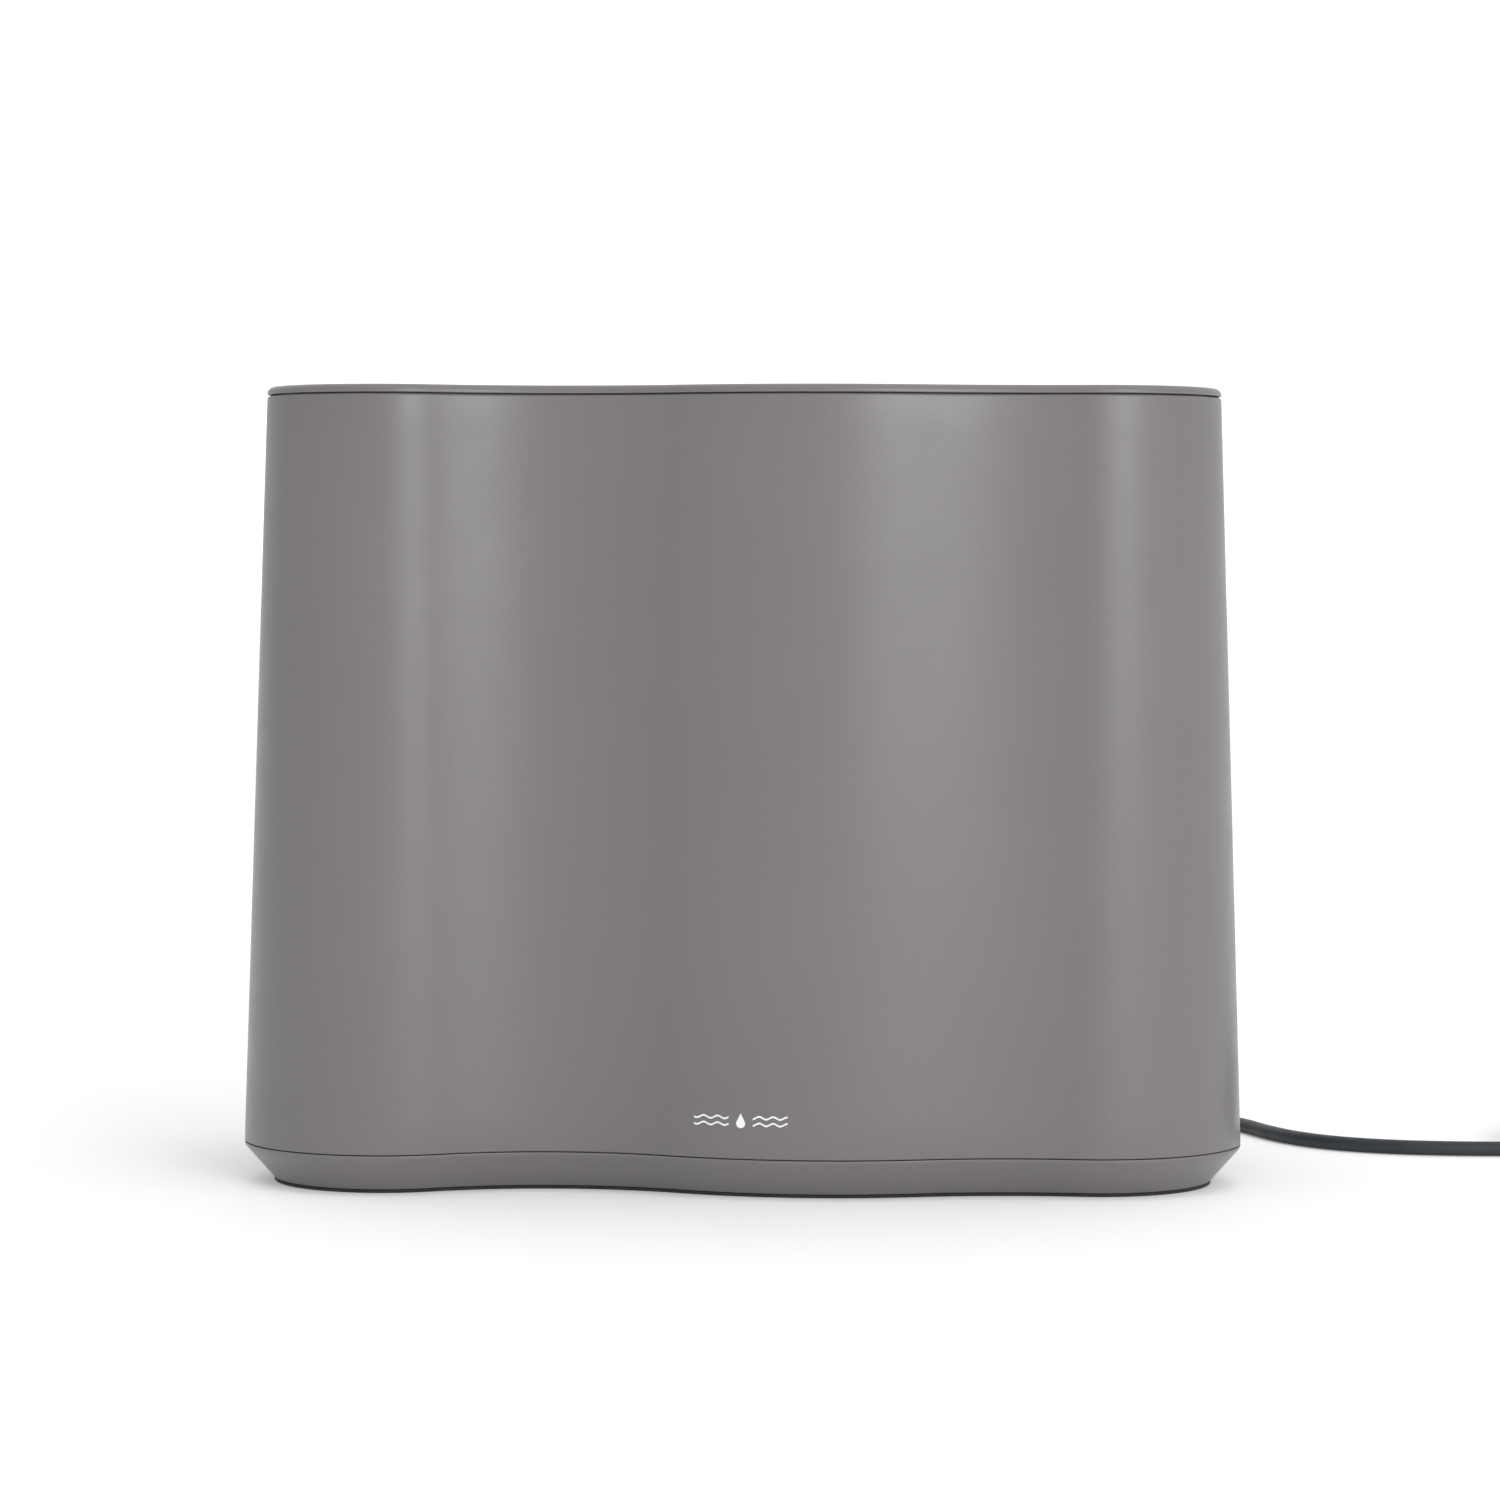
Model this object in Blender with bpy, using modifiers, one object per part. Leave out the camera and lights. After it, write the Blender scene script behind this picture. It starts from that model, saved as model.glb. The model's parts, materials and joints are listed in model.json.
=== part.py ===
"""Three-lobed tabletop ultrasonic humidifier, built as an assembly of separate pieces.

A drafted moulded shell stands on a chamfered base. A lift-off lid covers a lift-out water tank, which
stands in a basin above the fan, the ultrasonic transducer and the boards. Its low-voltage lead leaves
the back, comes round the right-hand side and ends in a coil and a wall adapter.

Frame: origin at the middle of the appliance's footprint, on the surface it stands on; +X to the right,
+Y to the back, +Z up. Every size below is in millimetres; meshes are made in metres.
"""

import math

import bmesh
import bpy
from mathutils import Matrix, Vector

MM = 0.001
GAP = 0.3  # clearance between neighbouring pieces

# Plan of the shell at the base seam: (centre x, centre y, lobe radius, radius of the hollow after it),
# counter-clockwise from the front left. Each hollow is an arc tangent to the lobes on both sides.
LOBES = (
    (-121.1, -40.7, 48.9, 86.6),
    (30.4, 27.0, 126.9, 140.0),
    (119.4, -44.7, 50.6, 160.0),
    (118.0, 40.0, 52.0, 90.0),
    (8.0, -25.0, 125.0, 90.0),
    (-112.0, 38.0, 56.0, 160.0),
)
FRONT_LEFT, FRONT_RIGHT, REAR_RIGHT, REAR_LEFT = 0, 2, 3, 5  # places in LOBES
OUTLINE_SAG = 0.55  # how far a straight side of the outline may stand off its arc

# Heights of the case
FOOT_TOP = 1.0
BASE_BOTTOM = 1.3
SEAM_Z = 13.74
LID_SEAM_Z = 267.06
TOP_Z = 270.0
SEAM_GAP = 0.3
LID_GAP = 0.44
DRAFT = 0.032  # the wall leans in by this much for each millimetre of height

SHELL_WALL = 2.5
SHELL_BOTTOM = SEAM_Z + SEAM_GAP / 2
SHELL_TOP = LID_SEAM_Z - LID_GAP / 2
LID_BOTTOM = LID_SEAM_Z + LID_GAP / 2

BASE_RIM = SEAM_Z - SEAM_GAP / 2
BASE_CHAMFER = 10.08  # inward run of the chamfer below the seam
BASE_FLOOR = 4.3
FOOT_WIDTH = 4.2
INTAKE_SLOTS, INTAKE_PITCH = 6, 7.0
INTAKE_LENGTH, INTAKE_WIDTH = 40.0, 3.2

# Lid: its skirt, the collar round the nozzle and the ledge that the nozzle turns on
SKIRT_CLEARANCE, SKIRT_THICK, SKIRT_BOTTOM = 3.3, 2.0, 259.0
COLLAR_OUTER, COLLAR_INNER, COLLAR_BOTTOM = 23.0, 21.0, 250.0
LEDGE_INNER, LEDGE_LOW, LEDGE_TOP = 17.5, 256.0, 258.0
NOZZLE_SLOT = (22.0, 8.0)
NOZZLE_LEAN = 25.0  # degrees that the mist slot leans from upright

# Basin tray and what stands in it
TRAY_BOTTOM, TRAY_FLOOR, TRAY_TOP = 62.0, 64.5, 96.0
TRAY_INSET, TRAY_WALL = 6.0, 2.2
MIST_X, MIST_Y = 98.0, 2.0  # axis of the mist pocket, the chimney and the nozzle
TRANSDUCER_X = 82.0
TRANSDUCER_SEAT = 13.0  # radius of the seal's body, in the tray's hole
CLAMP_SCREW_REACH = 16.5
FLOAT_X, FLOAT_Y = 98.0, 32.0
TANK_REST_TOP = 71.7
TANK_RESTS = ((-120.0, -40.0), (-112.0, 36.0), (30.0, -70.0), (20.0, 70.0))
TRAY_PILLARS = ((-100.0, -10.0), (55.0, -70.0), (45.0, 60.0))
PILLAR_BOSS_TOP = 9.0

# Fan and air duct
FAN_X, FAN_SIZE = 120.0, 60.0
FAN_LOW, FAN_HIGH = BASE_FLOOR + GAP, 24.6
FAN_THROAT, FAN_STRUTS, FAN_BLADES = 28.0, 3, 7
STRUT_THICK = 2.2
STANDPIPE_OUTER, STANDPIPE_INNER = 9.0, 7.0

# Water tank
TANK_BOTTOM, TANK_TOP = 72.0, 205.0
TANK_WALL = 2.2
TANK_FLOOR = TANK_BOTTOM + 2.5
POCKET_RADIUS, POCKET_ROOF = 42.0, 110.0
CHIMNEY_RADIUS, CHIMNEY_BORE, CHIMNEY_TOP = 19.0, 17.0, 255.5
HANDLE_Z = 198.0
HANDLE_REACH = 52.0
HANDLE_FRONT, HANDLE_REAR = -56.5, 60.5  # middles of the two arms
HANDLE_ARM = 6.4
PIN_RADIUS = 2.5
# Each lug's plan: its outer end lies inside the tank's curved wall
LUG_FRONT = ((-7.0, -80.9), (7.0, -84.4), (7.0, -60.2), (-7.0, -60.2))
LUG_REAR = ((-7.0, 64.2), (7.0, 64.2), (7.0, 86.5), (-7.0, 85.6))
LUG_BELOW, LUG_HEIGHT = 12.0, 18.0

# Valve in the tank's floor
VALVE_X, VALVE_Y = -45.0, 0.0
VALVE_NECK, VALVE_BORE, VALVE_FLANGE = 19.9, 17.5, 24.0
VALVE_FLANGE_LOW, VALVE_FLANGE_TOP, VALVE_SEAT = 67.6, 70.2, 71.4
VALVE_WEB_LOW, VALVE_WEB_TOP, VALVE_NECK_TOP = 88.0, 90.0, 92.0
STEM_RADIUS, STEM_LOW, STEM_TOP = 2.0, 66.4, 96.0
PLUNGER_RADIUS, PLUNGER_TOP = 13.0, 74.3
SPRING_TURNS, SPRING_RADIUS, SPRING_WIRE = 4.5, 5.0, 0.45
SPRING_LOW, SPRING_HIGH = 75.2, 87.1

# Case screws: the lobe each shell screw is in and its bearing from the lobe's centre, in degrees
SHELL_SCREWS = ((FRONT_LEFT, 200), (FRONT_RIGHT, 340), (REAR_RIGHT, 20), (REAR_LEFT, 160))
SCREW_INSET = 20.0
SCREW_HEAD, SCREW_SHANK = 3.6, 1.8
SCREW_HOLE = SCREW_SHANK + 0.4
SCREW_HEAD_Z, SCREW_SEAT_Z, SCREW_END_Z = 2.0, 4.3, 16.5
BOSS_RADIUS = 5.5
TAB_TOP = SHELL_BOTTOM + 4.0

# Driver board, in the base
BOARD_THICK = 1.6
BOARD_Z = 20.0
BOARD_LOW, BOARD_HIGH = (-60.0, -40.0), (20.0, 20.0)
BOARD_MARGIN, BOARD_POST = 5.0, 3.0

# Rear controls and inlet
PANEL_X, PANEL_Z = 8.0, 38.0
PANEL_FACE_Y, PANEL_BACK_Y = 96.0, 90.0
PANEL_OPENING, PANEL_CORNER = (52.0, 20.0), 9.9
BEZEL_FLANGE, BEZEL_FLANGE_FRONT_Y = (60.0, 26.0), 91.8
BEZEL_POST_OFFSET = 26.5
BUTTON_OFFSET, BUTTON_RADIUS = 15.0, 7.0
LIGHT_PIPE_RADIUS = 1.8
CONTROL_BOARD_Y, CONTROL_BOARD = 82.0, (64.0, 24.0)
JACK_X, JACK_Z, JACK_FACE_Y = 81.2, 26.0, 86.3
JACK_OPENING, JACK_BODY, JACK_BORE = 6.4, 6.0, 2.9

# Low-voltage lead: route of its middle, by hand, from the plug to the coil
LEAD_RADIUS = 2.6
PLUG_AXIS_Y = 96.5
RELIEF_END_X = 112.0
LEAD_ROUTE = (
    (112.3, 96.5, 26.0),
    (121.0, 96.8, 25.4),
    (130.0, 98.2, 22.6),
    (139.0, 101.2, 17.6),
    (147.0, 104.6, 12.0),
    (154.5, 107.4, 7.4),
    (162.0, 108.9, 4.2),
    (170.5, 107.4, 2.8),
    (178.3, 103.0, 2.65),
    (184.0, 96.1, 2.65),
    (187.6, 88.0, 2.65),
    (190.4, 79.0, 2.65),
    (194.0, 69.0, 2.65),
    (199.0, 58.5, 2.65),
    (205.4, 49.0, 2.65),
    (213.2, 41.0, 2.65),
    (222.4, 34.8, 2.65),
    (233.0, 30.2, 2.65),
    (245.0, 27.2, 2.65),
    (258.0, 25.7, 2.65),
    (272.0, 25.4, 2.65),
    (286.0, 25.4, 2.7),
    (301.4, 25.4, 3.0),
)
COIL_X, COIL_Y = 322.0, 63.4
COIL_INNER, COIL_OUTER = 19.2, 40.9
COIL_BOTTOM, COIL_TOP = 0.95, 17.0
TIE_HOLE, TIE_THICK, TIE_WIDTH = (23.4, 17.2), 0.6, 9.0
TAIL_X, TAIL_Z = COIL_X + 38.0, 14.0
TAIL_ROUTE = ((TAIL_X, 84.2, TAIL_Z), (TAIL_X, 88.0, TAIL_Z), (TAIL_X, 91.7, TAIL_Z))
ADAPTER_Y0, ADAPTER_Y1 = 110.0, 175.0
ADAPTER_WIDTH, ADAPTER_HEIGHT = 49.0, 28.0
BLADE_OFFSET, BLADE_LENGTH, BLADE_WIDTH, BLADE_THICK = 6.35, 16.7, 6.3, 1.5

GREY = (0.25, 0.235, 0.24)
DARK = (0.022, 0.023, 0.026)
CLEAR_GREY = (0.42, 0.45, 0.48)
WHITE = (0.78, 0.78, 0.76)
LEAD_GREY = (0.055, 0.065, 0.078)
STEEL = (0.62, 0.62, 0.62)
COPPER = (0.72, 0.38, 0.2)
GREEN = (0.03, 0.16, 0.08)


# ---------------------------------------------------------------- scene and materials


def clear_scene():
    for obj in list(bpy.data.objects):
        bpy.data.objects.remove(obj, do_unlink=True)


def new_collection(name):
    collection = bpy.data.collections.new(name)
    bpy.context.scene.collection.children.link(collection)
    return collection


def material(name, colour, roughness, metallic=0.0):
    made = bpy.data.materials.get(name)
    if made is None:
        made = bpy.data.materials.new(name)
        made.use_nodes = True
        shader = made.node_tree.nodes["Principled BSDF"]
        shader.inputs["Base Color"].default_value = (*colour, 1.0)
        shader.inputs["Roughness"].default_value = roughness
        shader.inputs["Metallic"].default_value = metallic
    return made


clear_scene()
PARTS = new_collection("tabletop_humidifier")
CUTTERS = new_collection("cutters")


# ---------------------------------------------------------------- plan outline


def hollow_centre(lobe, following):
    """Centre of the arc that touches two neighbouring lobes from outside."""
    x, y, radius, hollow = lobe
    span_x, span_y = following[0] - x, following[1] - y
    span = math.hypot(span_x, span_y)
    near, far = radius + hollow, following[2] + hollow
    along = (span * span + near * near - far * far) / (2 * span)
    aside = math.sqrt(near * near - along * along)
    unit_x, unit_y = span_x / span, span_y / span
    return x + unit_x * along + unit_y * aside, y + unit_y * along - unit_x * aside


def arc_points(centre, radius, start, sweep, count):
    """Points along an arc, leaving out its last one."""
    return [
        (
            centre[0] + radius * math.cos(start + sweep * i / count),
            centre[1] + radius * math.sin(start + sweep * i / count),
        )
        for i in range(count)
    ]


def arc_count(radius, sweep):
    return max(2, math.ceil(abs(sweep) / (2 * math.acos(1 - OUTLINE_SAG / radius))))


def outline(inset):
    """The plan outline, moved in by inset. Every inset gives the same number of points."""
    points = []
    hollows = [hollow_centre(LOBES[i], LOBES[(i + 1) % len(LOBES)]) for i in range(len(LOBES))]
    for i, (x, y, radius, hollow) in enumerate(LOBES):
        before, after = hollows[i - 1], hollows[i]
        start = math.atan2(before[1] - y, before[0] - x)
        sweep = (math.atan2(after[1] - y, after[0] - x) - start) % (2 * math.pi)
        points += arc_points((x, y), radius - inset, start, sweep, arc_count(radius, sweep))
        next_x, next_y = LOBES[(i + 1) % len(LOBES)][:2]
        start = math.atan2(y - after[1], x - after[0])
        sweep = -((start - math.atan2(next_y - after[1], next_x - after[0])) % (2 * math.pi))
        points += arc_points(after, hollow + inset, start, sweep, arc_count(hollow, sweep))
    return points


def wall_inset(z):
    """How far the drafted wall's outside stands in from the seam's outline at height z."""
    return DRAFT * (z - SEAM_Z)


# ---------------------------------------------------------------- shape helpers


def placed(name, mesh_or_curve, look, origin=(0, 0, 0), collection=None):
    obj = bpy.data.objects.new(name, mesh_or_curve)
    obj.location = Vector(origin) * MM
    (collection or PARTS).objects.link(obj)
    if look:
        mesh_or_curve.materials.append(look)
    return obj


def object_from(name, bm, look, origin=(0, 0, 0), collection=None, smooth_angle=35):
    """Makes an object of a bmesh whose points are millimetres in the common frame."""
    bmesh.ops.translate(bm, verts=bm.verts, vec=-Vector(origin))
    bmesh.ops.scale(bm, verts=bm.verts, vec=(MM, MM, MM))
    mesh = bpy.data.meshes.new(name)
    bm.to_mesh(mesh)
    bm.free()
    mesh.shade_smooth()
    mesh.set_sharp_from_angle(angle=math.radians(smooth_angle))
    return placed(name, mesh, look, origin, collection)


def loft(rings, ring_shaped=False):
    """A closed body through outlines given as (inset, z), its ends capped or joined to each other."""
    bm = bmesh.new()
    loops = [[bm.verts.new((x, y, z)) for x, y in outline(inset)] for inset, z in rings]
    pairs = list(zip(loops, loops[1:]))
    if ring_shaped:
        pairs.append((loops[-1], loops[0]))
    else:
        bm.faces.new(list(reversed(loops[0])))
        bm.faces.new(loops[-1])
    for low, high in pairs:
        for i in range(len(low)):
            j = (i + 1) % len(low)
            bm.faces.new((low[i], low[j], high[j], high[i]))
    return bm


def box(low, high, rounding=0.0, segments=2):
    bm = bmesh.new()
    bmesh.ops.create_cube(bm, size=1.0)
    low, high = Vector(low), Vector(high)
    bmesh.ops.scale(bm, verts=bm.verts, vec=high - low)
    bmesh.ops.translate(bm, verts=bm.verts, vec=(low + high) / 2)
    if rounding:
        bmesh.ops.bevel(
            bm, geom=bm.edges[:], offset=rounding, segments=segments, profile=0.5, affect="EDGES"
        )
    return bm


def cylinder(start, end, radius, sides=24, end_radius=None):
    """A capped cylinder, or a cone, from one point to another."""
    start, end = Vector(start), Vector(end)
    bm = bmesh.new()
    bmesh.ops.create_cone(
        bm,
        cap_ends=True,
        segments=sides,
        radius1=radius,
        radius2=radius if end_radius is None else end_radius,
        depth=(end - start).length,
    )
    turn = (end - start).to_track_quat("Z", "Y").to_matrix().to_4x4()
    bmesh.ops.transform(bm, verts=bm.verts, matrix=Matrix.Translation((start + end) / 2) @ turn)
    return bm


def upright(x, y, low, high, radius, sides=24):
    """A cylinder along Z."""
    return cylinder((x, y, low), (x, y, high), radius, sides)


def rounded_points(corners, radius, steps=4):
    """A polygon in the plane with each corner turned into an arc."""
    points = []
    for i, corner in enumerate(corners):
        here = Vector(corner)
        back = (Vector(corners[i - 1]) - here).normalized()
        ahead = (Vector(corners[(i + 1) % len(corners)]) - here).normalized()
        half = back.angle(ahead) / 2
        middle = here + (back + ahead).normalized() * (radius / math.sin(half))
        first = here + back * (radius / math.tan(half)) - middle
        last = here + ahead * (radius / math.tan(half)) - middle
        for k in range(steps + 1):
            spoke = first.lerp(last, k / steps).normalized() * radius
            points.append(middle + spoke)
    return points


def rectangle(width, height):
    x, y = width / 2, height / 2
    return [(-x, -y), (x, -y), (x, y), (-x, y)]


def prism(points, depth, place):
    """An outline in the local XY plane, pushed along local Z by depth and put in place by a matrix."""
    bm = bmesh.new()
    low = [bm.verts.new((p[0], p[1], 0)) for p in points]
    high = [bm.verts.new((p[0], p[1], depth)) for p in points]
    bm.faces.new(list(reversed(low)))
    bm.faces.new(high)
    for i in range(len(low)):
        j = (i + 1) % len(low)
        bm.faces.new((low[i], low[j], high[j], high[i]))
    bmesh.ops.transform(bm, verts=bm.verts, matrix=place)
    return bm


def facing_back(x, y, z):
    """Local Z to +Y, local X to -X and local Y to +Z, at a point."""
    turn = Matrix(((-1, 0, 0), (0, 0, 1), (0, 1, 0))).to_4x4()
    return Matrix.Translation((x, y, z)) @ turn


def turned(name, profile, at, look, closed=False, along="Z", sides=28, collection=None):
    """A profile of (radius, height) turned about an axis. It runs down its outer side."""
    mesh = bpy.data.meshes.new(name)
    points = [(radius * MM, 0, height * MM) for radius, height in profile]
    edges = [(i, i + 1) for i in range(len(points) - 1)]
    if closed:
        edges.append((len(points) - 1, 0))
    mesh.from_pydata(points, edges, [])
    obj = placed(name, mesh, look, at, collection)
    if along == "Y":
        obj.rotation_euler = (-math.pi / 2, 0, 0)
    screw = obj.modifiers.new("turn", "SCREW")
    screw.steps = sides
    screw.render_steps = sides
    screw.use_merge_vertices = True
    screw.merge_threshold = 0.00001
    screw.use_smooth_shade = True
    return obj


def helper(name, bm):
    """A hidden body that cuts or joins another."""
    return object_from(name, bm, None, collection=CUTTERS)


def combine(obj, other, operation):
    other.hide_render = True
    other.display_type = "WIRE"
    boolean = obj.modifiers.new(f"{operation.lower()}_{other.name}", "BOOLEAN")
    boolean.operation = operation
    boolean.solver = "EXACT"
    boolean.object = other


def cut(obj, name, bm):
    combine(obj, helper(name, bm), "DIFFERENCE")


def join(obj, name, bm):
    combine(obj, helper(name, bm), "UNION")


def smooth_path(route, spacing):
    """Points every spacing or so on a smooth curve through the route's points."""
    points = [Vector(p) for p in route]
    points = [2 * points[0] - points[1], *points, 2 * points[-1] - points[-2]]
    path = []
    for i in range(1, len(points) - 2):
        before, start, end, after = points[i - 1 : i + 3]
        count = max(1, round((end - start).length / spacing))
        for k in range(count):
            t = k / count
            path.append(
                0.5
                * (
                    2 * start
                    + (end - before) * t
                    + (2 * before - 5 * start + 4 * end - after) * t * t
                    + (3 * start - before - 3 * end + after) * t * t * t
                )
            )
    path.append(points[-2])
    return path


def tube(name, path, radius, look, resolution=2):
    curve = bpy.data.curves.new(name, "CURVE")
    curve.dimensions = "3D"
    curve.bevel_depth = radius * MM
    curve.bevel_resolution = resolution
    curve.use_fill_caps = True
    spline = curve.splines.new("POLY")
    spline.points.add(len(path) - 1)
    for spot, point in zip(spline.points, path):
        spot.co = (*(Vector(point) * MM), 1.0)
    spline.use_smooth = True
    return placed(name, curve, look)


# ---------------------------------------------------------------- looks


def case_plastic():
    return material("case_plastic", GREY, 0.48)


def inner_plastic():
    return material("inner_plastic", WHITE, 0.45)


def tank_plastic():
    return material("tank_plastic", CLEAR_GREY, 0.25)


def dark_rubber():
    return material("dark_rubber", DARK, 0.7)


def dark_plastic():
    return material("dark_plastic", DARK, 0.45)


def lead_jacket():
    return material("lead_jacket", LEAD_GREY, 0.5)


def steel():
    return material("steel", STEEL, 0.3, 1.0)


def copper():
    return material("copper", COPPER, 0.35, 1.0)


def board_laminate():
    return material("board_laminate", GREEN, 0.4)


# ---------------------------------------------------------------- case


def lobe_point(lobe, degrees, inset):
    """A point at an inset from the outline, out from a lobe's centre."""
    x, y, radius, _ = LOBES[lobe]
    angle = math.radians(degrees)
    return x + (radius - inset) * math.cos(angle), y + (radius - inset) * math.sin(angle)


def make_outer_shell():
    edge = 0.8
    inner = SHELL_WALL
    rings = (
        (wall_inset(SHELL_BOTTOM), SHELL_BOTTOM),
        (wall_inset(SHELL_TOP - edge), SHELL_TOP - edge),
        (wall_inset(SHELL_TOP) + edge, SHELL_TOP),
        (wall_inset(SHELL_TOP) + inner, SHELL_TOP),
        (wall_inset(SHELL_BOTTOM) + inner, SHELL_BOTTOM),
    )
    shell = object_from("outer_shell", loft(rings, ring_shaped=True), case_plastic())
    for number, (lobe, degrees) in enumerate(SHELL_SCREWS, 1):
        join(shell, f"shell_tab_{number}", shell_tab(lobe, degrees))
        x, y = lobe_point(lobe, degrees, SCREW_INSET)
        cut(shell, f"shell_tab_hole_{number}", upright(x, y, 10, 20, SCREW_HOLE, 12))
    opening = rounded_points(rectangle(*PANEL_OPENING), PANEL_CORNER)
    cut(shell, "panel_opening", prism(opening, 16, facing_back(PANEL_X, 88, PANEL_Z)))
    cut(shell, "jack_opening", cylinder((JACK_X, 80, JACK_Z), (JACK_X, 92, JACK_Z), JACK_OPENING))


def shell_tab(lobe, degrees):
    """A lug from the wall inward, which a base screw pulls down on the base."""
    half_width, outer_inset, inner_inset = 8.0, 1.2, 27.0
    radius = LOBES[lobe][2]
    bm = box(
        (radius - inner_inset, -half_width, SHELL_BOTTOM + 0.4),
        (radius - outer_inset, half_width, TAB_TOP),
    )
    turn = Matrix.Rotation(math.radians(degrees), 4, "Z")
    place = Matrix.Translation((*LOBES[lobe][:2], 0)) @ turn
    bmesh.ops.transform(bm, verts=bm.verts, matrix=place)
    return bm


def screw_places():
    """Where each base screw stands, and the height of the boss it goes through."""
    corners = [(lobe_point(lobe, degrees, SCREW_INSET), BASE_RIM) for lobe, degrees in SHELL_SCREWS]
    return corners + [(place, PILLAR_BOSS_TOP) for place in TRAY_PILLARS]


def make_base_shell():
    rings = (
        (BASE_CHAMFER, BASE_BOTTOM),
        (0.15, SEAM_Z - 1.1),
        (0.0, BASE_RIM - 0.5),
        (0.2, BASE_RIM),
        (4.6, BASE_RIM),
        (5.4, SEAM_Z - 3),
        (13.0, BASE_FLOOR),
    )
    base = object_from("base_shell", loft(rings), case_plastic())
    for number, ((x, y), top) in enumerate(screw_places(), 1):
        join(base, f"base_boss_{number}", upright(x, y, 3, top, BOSS_RADIUS, 16))
    for number, (x, y) in enumerate(board_corners(), 1):
        join(base, f"board_post_{number}", upright(x, y, 3, BOARD_Z - GAP, BOARD_POST, 12))
    for number, ((x, y), top) in enumerate(screw_places(), 1):
        cut(base, f"base_hole_{number}", upright(x, y, 0, top + 2, SCREW_HOLE, 12))
        sink = upright(x, y, 0, SCREW_SEAT_Z + GAP, SCREW_HEAD + 0.6, 16)
        cut(base, f"base_sink_{number}", sink)
    half_length, half_width = INTAKE_LENGTH / 2, INTAKE_WIDTH / 2
    for number in range(INTAKE_SLOTS):
        y = MIST_Y + INTAKE_PITCH * (number - (INTAKE_SLOTS - 1) / 2)
        slot = box((FAN_X - half_length, y - half_width, 0), (FAN_X + half_length, y + half_width, 8))
        cut(base, f"intake_slot_{number + 1}", slot)


def make_foot_ring():
    outer, inner = BASE_CHAMFER, BASE_CHAMFER + FOOT_WIDTH
    rings = ((outer + 0.25, 0), (outer, FOOT_TOP), (inner, FOOT_TOP), (inner, 0))
    object_from("foot_ring", loft(rings, ring_shaped=True), dark_rubber())


def make_base_screws():
    for number, ((x, y), _) in enumerate(screw_places(), 1):
        profile = (
            (0, SCREW_END_Z),
            (SCREW_SHANK, SCREW_END_Z),
            (SCREW_SHANK, SCREW_SEAT_Z),
            (SCREW_HEAD, SCREW_SEAT_Z),
            (SCREW_HEAD, SCREW_HEAD_Z),
            (0, SCREW_HEAD_Z),
        )
        turned(f"base_screw_{number}", profile, (x, y, 0), steel(), sides=12)


# ---------------------------------------------------------------- lid and nozzle


def make_lid():
    edge = wall_inset(LID_SEAM_Z)
    skirt_outer = edge + SKIRT_CLEARANCE
    skirt_inner = skirt_outer + SKIRT_THICK
    rings = (
        (skirt_inner, LID_BOTTOM),
        (skirt_inner, SKIRT_BOTTOM),
        (skirt_outer, SKIRT_BOTTOM),
        (skirt_outer, LID_BOTTOM),
        (edge + 0.3, LID_BOTTOM),
        (edge, LID_BOTTOM + 0.3),
        (edge + 0.3, TOP_Z - 1.3),
        (edge + 1.1, TOP_Z - 0.4),
        (edge + 2.6, TOP_Z),
    )
    lid = object_from("lid", loft(rings), case_plastic())
    collar = upright(MIST_X, MIST_Y, COLLAR_BOTTOM, TOP_Z - 1, COLLAR_OUTER, 28)
    join(lid, "lid_collar", collar)
    bore = (
        (0, TOP_Z + 1),
        (COLLAR_INNER, TOP_Z + 1),
        (COLLAR_INNER, LEDGE_TOP),
        (LEDGE_INNER, LEDGE_TOP),
        (LEDGE_INNER, LEDGE_LOW),
        (COLLAR_INNER, LEDGE_LOW),
        (COLLAR_INNER, COLLAR_BOTTOM - 1),
        (0, COLLAR_BOTTOM - 1),
    )
    cutter = turned("lid_bore", bore, (MIST_X, MIST_Y, 0), None, collection=CUTTERS)
    combine(lid, cutter, "DIFFERENCE")


def make_mist_nozzle():
    outer, inner = COLLAR_INNER - 0.4, 18.4
    bottom = LEDGE_TOP + GAP
    profile = (
        (0, 268.6),
        (15.0, 268.6),
        (18.5, 269.7),
        (outer - 0.4, 269.7),
        (outer, 269.3),
        (outer, bottom),
        (inner, bottom),
        (inner, 266.6),
        (0, 266.6),
    )
    nozzle = turned("mist_nozzle", profile, (MIST_X, MIST_Y, 0), dark_plastic())
    lean = Matrix.Rotation(math.radians(NOZZLE_LEAN), 4, "X")
    place = Matrix.Translation((MIST_X, MIST_Y - 5, 262)) @ lean
    slot = rounded_points(rectangle(*NOZZLE_SLOT), NOZZLE_SLOT[1] / 2 - 0.1)
    cut(nozzle, "nozzle_slot", prism(slot, 14, place))


# ---------------------------------------------------------------- water tank


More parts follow.
